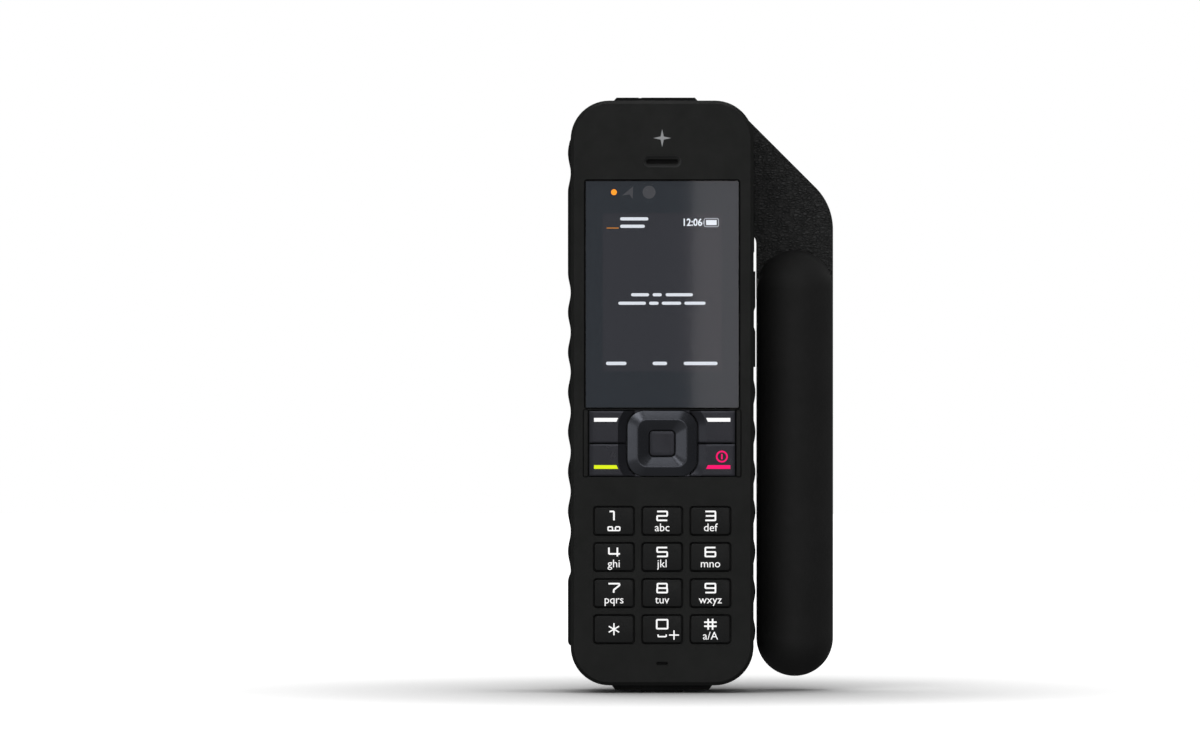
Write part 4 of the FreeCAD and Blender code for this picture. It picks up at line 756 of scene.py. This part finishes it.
def function_key(node, side, upper):
    """A key beside the ring: flat, then a band that slopes down to the ring along its outline."""
    _, _, centre, ring_wide, ring_tall = measures("nav_ring")
    low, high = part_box(node)
    face = low.y
    inner = (low.x if side > 0 else -high.x)
    outer = (high.x if side > 0 else -low.x) - FUNCTION_FOOT - FUNCTION_SHY
    bottom = (low.z if upper else low.z + FUNCTION_FOOT) + FUNCTION_SHY
    top = (high.z - FUNCTION_FOOT if upper else high.z) - FUNCTION_SHY

    def reach(up, offset):
        """How far from the middle the ring's outline, moved out by offset, lies at this height."""
        radius = RING_CORNER + offset
        above = abs(up - centre.z) - (ring_tall + offset - radius)
        wide = ring_wide + offset
        if above <= 0:
            return wide
        return wide - radius + sqrt(max(radius ** 2 - above ** 2, 0.0))

    front, back = [], []
    for up in edge_samples(bottom, top, FUNCTION_EDGE, 18):
        start = max(inner, reach(up, RING_GROOVE))
        fold = max(reach(up, FLAT_FROM), start + FOLD_AFTER)
        columns = between(start, fold - FOLD_SOFT, 8) + [fold, fold + FOLD_SOFT]
        columns += edge_samples(fold + FLAT_AFTER, outer, FUNCTION_EDGE, 6)[4:]
        gap_shade, wall = [], []
        for across in columns:
            away = outline_distance(across, up - centre.z, ring_wide, ring_tall, RING_CORNER)
            share = min(max((FLAT_FROM - away) / (FLAT_FROM - RING_GROOVE), 0.0), 1.0)
            rim = min(outer - across, up - bottom, top - up)
            depth = face + BAND_DROP * share + edge_drop(rim, FUNCTION_EDGE)
            gap_shade.append(Vector((side * across, depth, up)))
            wall.append(Vector((side * across, high.y, up)))
        front.append(gap_shade)
        back.append(wall)
    Skin().grid(front, back).stand_in(f"{node}_cap", "function_key_plastic", "function_key_plastic", node, 20)
    return face


LINE_PROUD = 0.012 * MM
STRIP_SEAT = 0.04 * MM
TRIM_MIDDLE = 21.62 * MM
TRIM_WIDE = 0.5 * MM
TRIM_TALL = 9.3 * MM
TRIM_CORNER = 0.3 * MM
TRIM_GAP = 0.14 * MM
BAR_INNER = 12.45 * MM
BAR_OUTER = 19.3 * MM
BAR_THICK = 1.07 * MM
BAR_SLANT = 0.5 * MM
BAR_FROM_MIDDLE = 6.68 * MM
POWER_SPOT = (16.9 * MM, 0, 2.95 * MM)


def key_bar(node, side, upper, ink):
    """The coloured bar on a function key, whose glow is painted light; its inner end is cut along the ring.
    """
    face = function_key(node, side, upper)
    centre = middle("nav_ring") + Vector((0, 0, BAR_FROM_MIDDLE if upper else -BAR_FROM_MIDDLE))
    half = BAR_THICK / 2
    near_top, near_low = BAR_INNER, BAR_INNER + BAR_SLANT
    if not upper:
        near_top, near_low = near_low, near_top
    skin = Skin()
    patch(skin, [(side * near_low, -half), (side * BAR_OUTER, -half), (side * BAR_OUTER, half),
                 (side * near_top, half)], centre, face)
    if node == "end_key":
        power_sign(skin, centre + Vector(POWER_SPOT), face)
    skin.piece(f"{node}_print", ink, body=body_of(node))


def power_sign(skin, spot, face):
    """A ring with a short upright line in it, above the end key's bar."""
    radius, ring_thick, line_half, line_thick, uncut = 1.46 * MM, 0.46 * MM, 0.75 * MM, 0.42 * MM, 0.0001 * MM
    stroke(skin, disc_outline(radius), ring_thick, spot, face, True, uncut)
    stroke(skin, [(0, -line_half), (0, line_half)], line_thick, spot, face)


def gap_shade_strip(name, spot, half_wide, half_high, corner, thick):
    """A black strip on the face around a part, from its outline outwards: painted shade where a deep gap
    would be dark.
    """
    face = face_level()
    profile = ((thick, STRIP_SEAT), (thick, -LINE_PROUD), (0.0, -LINE_PROUD), (0.0, STRIP_SEAT))
    rings = [rounded_ring(spot, half_wide + spread, half_high + spread, corner + spread, face + depth)
             for spread, depth in profile]
    Skin().loft(rings, wrap=True).piece(name, "edge_black", "case_plastic")


def trim_strip(name, side):
    """A slim raised strip with sloping sides, between the function keys and the grip."""
    face = face_level()
    spot = Vector((side * TRIM_MIDDLE, face, middle("nav_ring").z))
    profile = (  # spread beyond the strip's outline, depth behind the face
        (0.16 * MM, STRIP_SEAT), (0.16 * MM, -0.01 * MM), (0.02 * MM, -TRIM_PROUD),
        (-0.1 * MM, -TRIM_PROUD - 0.02 * MM),
    )
    rings = [rounded_ring(spot, TRIM_WIDE + spread, TRIM_TALL + spread, TRIM_CORNER + spread, face + depth, 4)
             for spread, depth in profile]
    Skin().loft(rings).piece(name, "case_plastic", "case_plastic")
    # A black strip around the trim: painted shade of its gap.
    gap_shade_strip(f"{name}_line", spot, TRIM_WIDE + TRIM_GAP, TRIM_TALL + TRIM_GAP, 0.4 * MM, 0.2 * MM)


# -------- side grips

GRIP_PITCH = 11.28 * MM
GRIP_AMPLITUDE = 0.39 * MM
GRIP_EDGE = 0.7 * MM
GRIP_END = 1.2 * MM
GRIP_STEP = 0.6 * MM
PAD_BLEND = 2 * MM
OPENING_BLEND = 2.5 * MM
ROD_CLEARANCE = 0.25 * MM


def grip(node, side, peak, opening=None, pad_top=None, lower=0.0):
    """A rubber grip that rises and falls along the handset.

    It stays at its full height around an opening and below pad_top; lower brings its crests in.
    """
    low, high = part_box(node)
    inner = min(abs(low.x), abs(high.x))
    crest = max(abs(low.x), abs(high.x)) - lower
    ups = edge_samples(low.z, high.z, GRIP_END, int((high.z - low.z) / GRIP_STEP))
    deeps = edge_samples(low.y, high.y, GRIP_EDGE, 10)
    if opening:
        ups = sorted(set(ups) | {opening[0].z, opening[1].z})
        deeps = sorted(set(deeps) | {opening[0].y, opening[1].y})

    def height(deep, up):
        wave = crest - GRIP_AMPLITUDE * (1 - cos(tau * (up - peak) / GRIP_PITCH))
        if pad_top is not None:
            wave += (crest - wave) * min(max((pad_top - up) / PAD_BLEND, 0.0), 1.0)
        if opening:
            gap = max(opening[0].z - up, up - opening[1].z, 0.0)
            wave += (crest - wave) * (1 - min(gap / OPENING_BLEND, 1.0))
        rim = min(deep - low.y, high.y - deep)
        end = min(up - low.z, high.z - up)
        return wave - edge_drop(rim, GRIP_EDGE) - edge_drop(end, GRIP_END)

    def kept(row, column):
        if not opening:
            return True
        up = (ups[row] + ups[row + 1]) / 2
        deep = (deeps[column] + deeps[column + 1]) / 2
        return not (opening[0].z < up < opening[1].z and opening[0].y < deep < opening[1].y)

    front = [[Vector((side * height(deep, up), deep, up)) for deep in deeps] for up in ups]
    back = [[Vector((side * inner, deep, up)) for deep in deeps] for up in ups]
    Skin().grid(front, back, kept).stand_in(f"{node}_skin", "grip_rubber", "grip_rubber", node, 40)


# -------- window and picture

GLASS_EDGE = 0.1 * MM
LAYER = 0.02 * MM
PICTURE_SIDE = 1.55 * MM
PICTURE_LOW = 3.2 * MM
PICTURE_HIGH = 3.4 * MM
WINDOW_CORNER = 0.6 * MM
WINDOW_GAP = 0.34 * MM
BORDER_RIM = 0.03 * MM
BORDER_LINE = 0.2 * MM
LAMP_IN = 2.5 * MM
SENSOR_FROM_LAMP = (9.95 * MM, 0, 0)
ARROW_FROM_LAMP = (3.95 * MM, 0, -0.1 * MM)
ARROW = ((1.5, 1.8), (-1.6, -0.85), (0.45, -0.55), (1.35, -1.8))


def print_area(name, outline, spot, front, finish, slot):
    """A piece that is one flat printed area."""
    skin = Skin()
    patch(skin, outline, spot, front)
    skin.piece(name, finish, slot)


def flat_sheet(columns, rows, depth):
    """Front and back of a thin sheet, sampled at these columns and rows."""
    return [[[Vector((across, level, up)) for across in columns] for up in rows]
            for level in (depth, depth + LAYER)]


def window():
    """The smoked window with a ground edge, a black strip painted as the shade of the gap around it, its
    border and its printed marks.
    """
    low, high, centre, wide, tall = measures("display_window")
    rings = [rounded_ring(centre, wide - inset, tall - inset, WINDOW_CORNER, depth)
             for inset, depth in ((0.0, high.y - 3 * LAYER), (0.0, low.y + GLASS_EDGE),
                                  (GLASS_EDGE / 3, low.y + GLASS_EDGE / 3), (GLASS_EDGE, low.y))]
    Skin().loft(rings).stand_in("window_pane", "window_glass", "window_glass", "display_window", 8)
    gap_shade_strip("window_line", centre, wide + LAYER, tall + LAYER, WINDOW_CORNER, WINDOW_GAP)
    border(high.y - 2 * LAYER)
    window_marks(high.y - 2.5 * LAYER)


def picture_box():
    """Lowest and highest corner of the lit picture."""
    low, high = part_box("lcd_panel")
    return (Vector((low.x + PICTURE_SIDE, low.y, low.z + PICTURE_LOW)),
            Vector((high.x - PICTURE_SIDE, low.y, high.z - PICTURE_HIGH)))


def border(front):
    """The print behind the glass: a slate sheet open at the picture, whose glow is painted light, and a black
    line around it.
    """
    low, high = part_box("display_window")
    inner_low, inner_high = picture_box()

    def sheet(name, finish, outer, inner_columns, inner_rows):
        columns = [low.x + outer, *inner_columns, high.x - outer]
        rows = [low.z + outer, *inner_rows, high.z - outer]
        skin = Skin().grid(*flat_sheet(columns, rows, front), kept=lambda *cell: cell != (1, 1))
        skin.piece(name, finish, "window_glass")

    sheet("window_border", "mask_slate", BORDER_LINE, (inner_low.x, inner_high.x),
          (inner_low.z, inner_high.z))
    sheet("window_outline", "edge_black", BORDER_RIM, (low.x + BORDER_LINE, high.x - BORDER_LINE),
          (low.z + BORDER_LINE, high.z - BORDER_LINE))


def window_marks(front):
    """The lamp, the locating arrow and the light sensor's disc, seen through the glass. The lamp's lens is
    lit; the lamp's rim, the arrow and the disc glow as painted light.
    """
    lamp = Vector((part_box("status_led")[0].x + LAMP_IN, front, middle("status_led").z))
    arrow = [(across * MM, up * MM) for across, up in ARROW]
    for name, ink, outline, aside, lift in (
            ("lamp_rim", "lamp_rim", disc_outline(1.08 * MM), (0, 0, 0), 0.0),
            ("lamp_lens", "lamp_orange", disc_outline(0.84 * MM), (0, 0, 0), LAYER),
            ("sensor_disc", "icon_grey", disc_outline(1.84 * MM, 40), SENSOR_FROM_LAMP, 0.0),
            ("arrow_mark", "icon_grey", arrow, ARROW_FROM_LAMP, 0.0)):
        print_area(name, outline, lamp + Vector(aside), front - lift, ink, "indicator")


# Bars that stand for words: the row's height and half thickness, and the ends of each bar, in
# millimetres from the picture's middle.
HEADING_WORDS = ((20.75, 0.45, ((-11.9, -3.9),)), (18.65, 0.45, ((-11.9, -4.9),)))
PICTURE_WORDS = (
    (-0.75, 0.44, ((-8.8, -3.7), (-2.7, -0.1), (1.0, 8.7))),
    (-3.15, 0.44, ((-12.4, -4.6), (-3.7, -1.0), (-0.1, 5.4), (6.3, 12.3))),
    (-20.2, 0.48, ((-15.9, -10.1), (-2.7, 1.4), (6.1, 15.7))),
)


def picture():
    """The lit field of the display and what it shows: clock, battery, and bars for words."""
    low, high = picture_box()
    depth = low.y - LAYER
    sheet = flat_sheet(between(low.x, high.x, 12), between(low.z, high.z, 16), depth)
    Skin().grid(*sheet).piece("picture_field", "picture_field", "display_panel")
    centre = Vector(((low.x + high.x) / 2, depth, (low.z + high.z) / 2))
    status_line(centre, depth)
    word_bars("picture_lines", PICTURE_WORDS, centre, depth)


def word_bars(name, words, centre, depth):
    """Plain bars with round ends, one for each word."""
    skin = Skin()
    for up, half_high, spans in words:
        for left, right in spans:
            outline = []
            for across, start in ((right - half_high, -90), (left + half_high, 90)):
                for step in range(9):
                    turn = radians(start + 22.5 * step)
                    outline.append(((across + half_high * cos(turn)) * MM,
                                    (up + half_high * sin(turn)) * MM))
            patch(skin, outline, centre, depth)
    skin.piece(name, "picture_soft", "display_panel")


def rectangle(half_wide, half_high, across=0.0):
    """Corners of a rectangle, from its half sizes and its shift to the right in millimetres."""
    return [((across + side * half_wide) * MM, up * half_high * MM)
            for side, up in ((-1, -1), (1, -1), (1, 1), (-1, 1))]


CLOCK = "12:06"
CLOCK_X_HEIGHT = 1.36 * MM
CLOCK_BOLD = 0.022
CLOCK_SQUEEZE = 0.9
CLOCK_SPOT = (8.5 * MM, 0, 18.8 * MM)
BATTERY_SPOT = (13.95 * MM, 0, 19.7 * MM)
UNDERLINE_SPOT = (-14.0 * MM, 0, 18.15 * MM)


def status_line(centre, depth):
    """Clock and battery on the right; on the left two bars for words and an orange underline."""
    ink, rim = Skin(), Skin()
    letters(ink, CLOCK, CLOCK_X_HEIGHT, centre + Vector(CLOCK_SPOT), depth, CLOCK_BOLD, CLOCK_SQUEEZE)
    case = centre + Vector(BATTERY_SPOT)
    patch(ink, rectangle(1.5, 0.72), case, depth)
    ink.piece("picture_status", "picture_white", "display_panel")
    stroke(rim, rectangle(2.0, 1.15), 0.26 * MM, case, depth, True, 0.4 * MM)
    patch(rim, rectangle(0.14, 0.5, -2.28), case, depth - OVERLAP)
    rim.piece("picture_battery", "picture_rim", "display_panel")
    word_bars("picture_words", HEADING_WORDS, centre, depth)
    print_area("picture_underline", rectangle(1.7, 0.14), centre + Vector(UNDERLINE_SPOT), depth,
               "picture_orange", "display_panel")


STAR_UP = 6.6 * MM
STAR_TIP = 2.5 * MM
STAR_WAIST = 0.62 * MM


def emblem():
    """A plain four-pointed star printed above the earpiece; its glow is painted light."""
    ear = middle("earpiece_mesh")
    points = []
    for step in range(8):
        radius = STAR_WAIST if step % 2 else STAR_TIP
        turn = radians(45 * step)
        points.append((radius * cos(turn), radius * sin(turn)))
    print_area("emblem_star", points, ear + Vector((0, 0, STAR_UP)), face_level(), "emblem_grey",
               "case_plastic")


def earpiece_dish():
    """The sloping rim that leads down to the earpiece slot, in a paler copy of the case plastic: a painted
    highlight on its slopes.
    """
    ear = middle("earpiece_mesh")
    face = face_level()
    profile = (  # half width, half height and depth behind the face, in millimetres
        (5.36, 1.63, 0.02), (5.1, 1.4, 0.1), (4.78, 1.08, 0.42), (4.72, 1.0, 0.49), (5.36, 1.63, 0.49))
    rings = [rounded_ring(ear, wide * MM, tall * MM, tall * MM, face + depth * MM, 10)
             for wide, tall, depth in profile]
    Skin().loft(rings, wrap=True).piece("earpiece_dish", "earpiece_satin", "case_plastic")


# -------- the studio

VIEW_WIDTH = 339.7 * MM
VIEW_LEFT_OF_HANDSET = 17.6 * MM
VIEW_HEIGHT = 90.4 * MM
LENS = 250.0
AIM_UP = 0.09

# Name, degrees to the right of the front, degrees up, distance, width, height, brightness,
# mirrored or not, and whether the floor is lit by it.
LIGHTS = (
    ("key_light", -30, 38, 1.5, 0.5, 0.5, 2.7, True, True),
    ("left_light", -51, 4, 1.4, 0.75, 0.5, 0.75, True, True),
    ("upper_light", 2, 50, 1.5, 0.5, 0.34, 1.5, True, True),
    ("front_light", 4, 17, 2.0, 0.7, 0.5, 2.4, True, True),
    ("top_light", 8, 62, 1.4, 0.6, 0.6, 2.5, False, False),
    ("right_light", 50, 8, 1.5, 0.4, 0.5, 1.2, False, True),
    ("right_back_light", 116, 22, 1.4, 0.7, 0.6, 8.0, False, False),
    ("left_back_light", -120, 22, 1.4, 0.7, 0.6, 6.0, False, False),
    ("back_high_light", 176, 50, 1.4, 1.0, 0.6, 7.0, True, False),
    ("back_low_light", -172, 14, 1.6, 0.7, 0.6, 5.0, True, False),
)


def camera():
    """A long lens, square to the front. Gives its distance from the front face."""
    data = bpy.data.cameras.new("camera")
    data.lens = LENS
    distance = VIEW_WIDTH * LENS / data.sensor_width
    made = put_in_scene("camera", data)
    made.location = (-VIEW_LEFT_OF_HANDSET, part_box("front_housing")[0].y - distance, VIEW_HEIGHT)
    made.rotation_euler = (radians(90), 0, 0)
    bpy.context.scene.camera = made
    return distance


FLOOR_NEAR = 0.09
FLOOR_FAR = 0.32
FLOOR_CONTACT = 0.11
CONTACT_POWER = 3.4
NEAR_GLOW = 0.78
FAR_GLOW = 0.4
FLOOR_HALF = 3.0


def floor():
    """A pale floor. Near the object it takes the lamps' shadows, and its glow is darkened by ambient
    occlusion as a painted contact shadow; further out it glows, like a lit backdrop.
    """
    recipe = Recipe("floor_white")
    reach = recipe.join(recipe.node("VectorMath", operation="LENGTH"), recipe.place).outputs["Value"]
    away = recipe.spread(reach, 0.0, 1.0, FLOOR_NEAR, FLOOR_FAR)
    # Painted contact shadow: the glow near the object falls with ambient occlusion.
    painted_contact_shadow = recipe.fill(recipe.node("AmbientOcclusion", samples=8), Distance=FLOOR_CONTACT)
    shade = recipe.math("POWER", painted_contact_shadow.outputs["AO"], CONTACT_POWER)
    glow = recipe.math("ADD", recipe.math("MULTIPLY", shade, NEAR_GLOW),
                       recipe.math("MULTIPLY", away, FAR_GLOW))
    pale = recipe.mix(recipe.noise(0.4), (0.84, 0.84, 0.84, 1), (0.86, 0.86, 0.86, 1))
    half = FLOOR_HALF
    data = bpy.data.meshes.new("floor")
    data.from_pydata([(-half, -half, 0), (half, -half, 0), (half, half, 0), (-half, half, 0)], [],
                     [(0, 1, 2, 3)])
    data.materials.append(recipe.surface(Roughness=0.9, Specular_IOR_Level=0.0, Base_Color=pale,
                                         Emission_Color=WHITE, Emission_Strength=glow))
    made = put_in_scene("floor", data)
    made.visible_glossy = False
    made.visible_diffuse = False
    return made


def softbox(name, place, aim, wide, high, radiance, tone=WHITE[:3]):
    """A rectangular light. Its power is set by how bright its face looks."""
    data = bpy.data.lights.new(name, "AREA")
    data.shape = "RECTANGLE"
    data.size, data.size_y = wide, high
    data.energy = radiance * pi * wide * high
    data.color = tone
    made = put_in_scene(name, data)
    made.location = place
    made.rotation_mode = "QUATERNION"
    made.rotation_quaternion = (Vector(aim) - Vector(place)).to_track_quat("-Z", "Y")
    made.visible_camera = False
    return made


def keep_off(light, thing):
    """The light leaves this thing unlit."""
    lit = bpy.data.collections.new(f"{light.name}_lit")
    lit.objects.link(thing)
    lit.collection_objects[0].light_linking.link_state = "EXCLUDE"
    light.light_linking.receiver_collection = lit


FILL_FROM = (-0.25, -0.97, 0.02)
FILL_REACH = (0.55, 1.0)
FILL_STRENGTH = (0.13, 0.43)


def world():
    """A white backdrop. The light it gives is softer: stronger from the front, weak from behind."""
    recipe = Recipe("studio", "World")
    along = recipe.along(recipe.places["Generated"], Vector(FILL_FROM).normalized())
    strength = recipe.spread(along, *FILL_STRENGTH, *FILL_REACH)
    fill = recipe.fill(recipe.node("Background"), Strength=strength)
    backdrop = recipe.fill(recipe.node("Background"), Color=WHITE)
    seen = recipe.node("LightPath").outputs["Is Camera Ray"]
    switch = recipe.join(recipe.node("MixShader"), seen, fill.outputs[0], backdrop.outputs[0])
    bpy.context.scene.world = recipe.finish(switch.outputs[0])
    bpy.context.scene.view_settings.view_transform = "Standard"


# The card whose reflection makes the paler band on the right of the window.
CARD_FROM_WINDOW_EDGE = 13.4 * MM
CARD_BEHIND_CAMERA = 0.25
CARD_UP = 0.12
CARD_WIDE = 0.3
CARD_HIGH = 0.8
CARD_TONE = (1.0, 0.93, 0.94)


def studio():
    distance = camera()
    ground = floor()
    world()
    for name, turn, rise, away, wide, high, radiance, mirrored, on_floor in LIGHTS:
        turn, rise = radians(turn), radians(rise)
        flat = away * cos(rise)
        place = (flat * sin(turn), -flat * cos(turn), AIM_UP + away * sin(rise))
        light = softbox(name, place, (0, 0, AIM_UP), wide, high, radiance)
        light.visible_glossy = mirrored
        if not on_floor:
            keep_off(light, ground)
    band_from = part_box("display_window")[1].x - CARD_FROM_WINDOW_EDGE
    behind = distance + CARD_BEHIND_CAMERA
    across = band_from + (band_from + VIEW_LEFT_OF_HANDSET) * behind / distance + CARD_WIDE / 2
    softbox("window_card", (across, -behind, CARD_UP), (across, 0, CARD_UP), CARD_WIDE, CARD_HIGH, 1.0,
            CARD_TONE)


# -------- the whole object

RIGHT_CREST_UP = 3.6 * MM
LEFT_CREST_UP = 26.8 * MM
LEFT_PAD_UP = 20.4 * MM
COVER_GAP = 0.05 * MM
COVER_SOFT = 0.25 * MM
FACEPLATE_SOFT = 0.45 * MM


def build():
    dress_frame()
    for mark in "1 2 3 4 5 6 7 8 9 star 0 hash".split():
        key_legend(f"key_{mark}", mark)
    nav_ring()
    select_key()
    for node, side, upper, ink in (("soft_key_left", -1, True, "legend_white"),
                                   ("soft_key_right", 1, True, "legend_white"),
                                   ("call_key", -1, False, "bar_lime"), ("end_key", 1, False, "bar_pink")):
        key_bar(node, side, upper, ink)
    for name, side in (("trim_left", -1), ("trim_right", 1)):
        trim_strip(name, side)
    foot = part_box("grip_right")[0].z
    grip("grip_right", 1, foot + RIGHT_CREST_UP, lower=ROD_CLEARANCE)
    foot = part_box("grip_left")[0].z
    cover_low, cover_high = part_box("left_port_cover")
    gap = Vector((0, COVER_GAP, COVER_GAP))
    grip("grip_left", -1, foot + LEFT_CREST_UP, (cover_low - gap, cover_high + gap), foot + LEFT_PAD_UP)
    window()
    picture()
    emblem()
    earpiece_dish()
    for node in ("assistance_cover", "bottom_port_cover", "left_port_cover", "right_port_cover",
                 "volume_rocker", "battery_latch"):
        soften_edges(node, COVER_SOFT)
    soften_edges("arm_faceplate", FACEPLATE_SOFT)
    studio()


build()
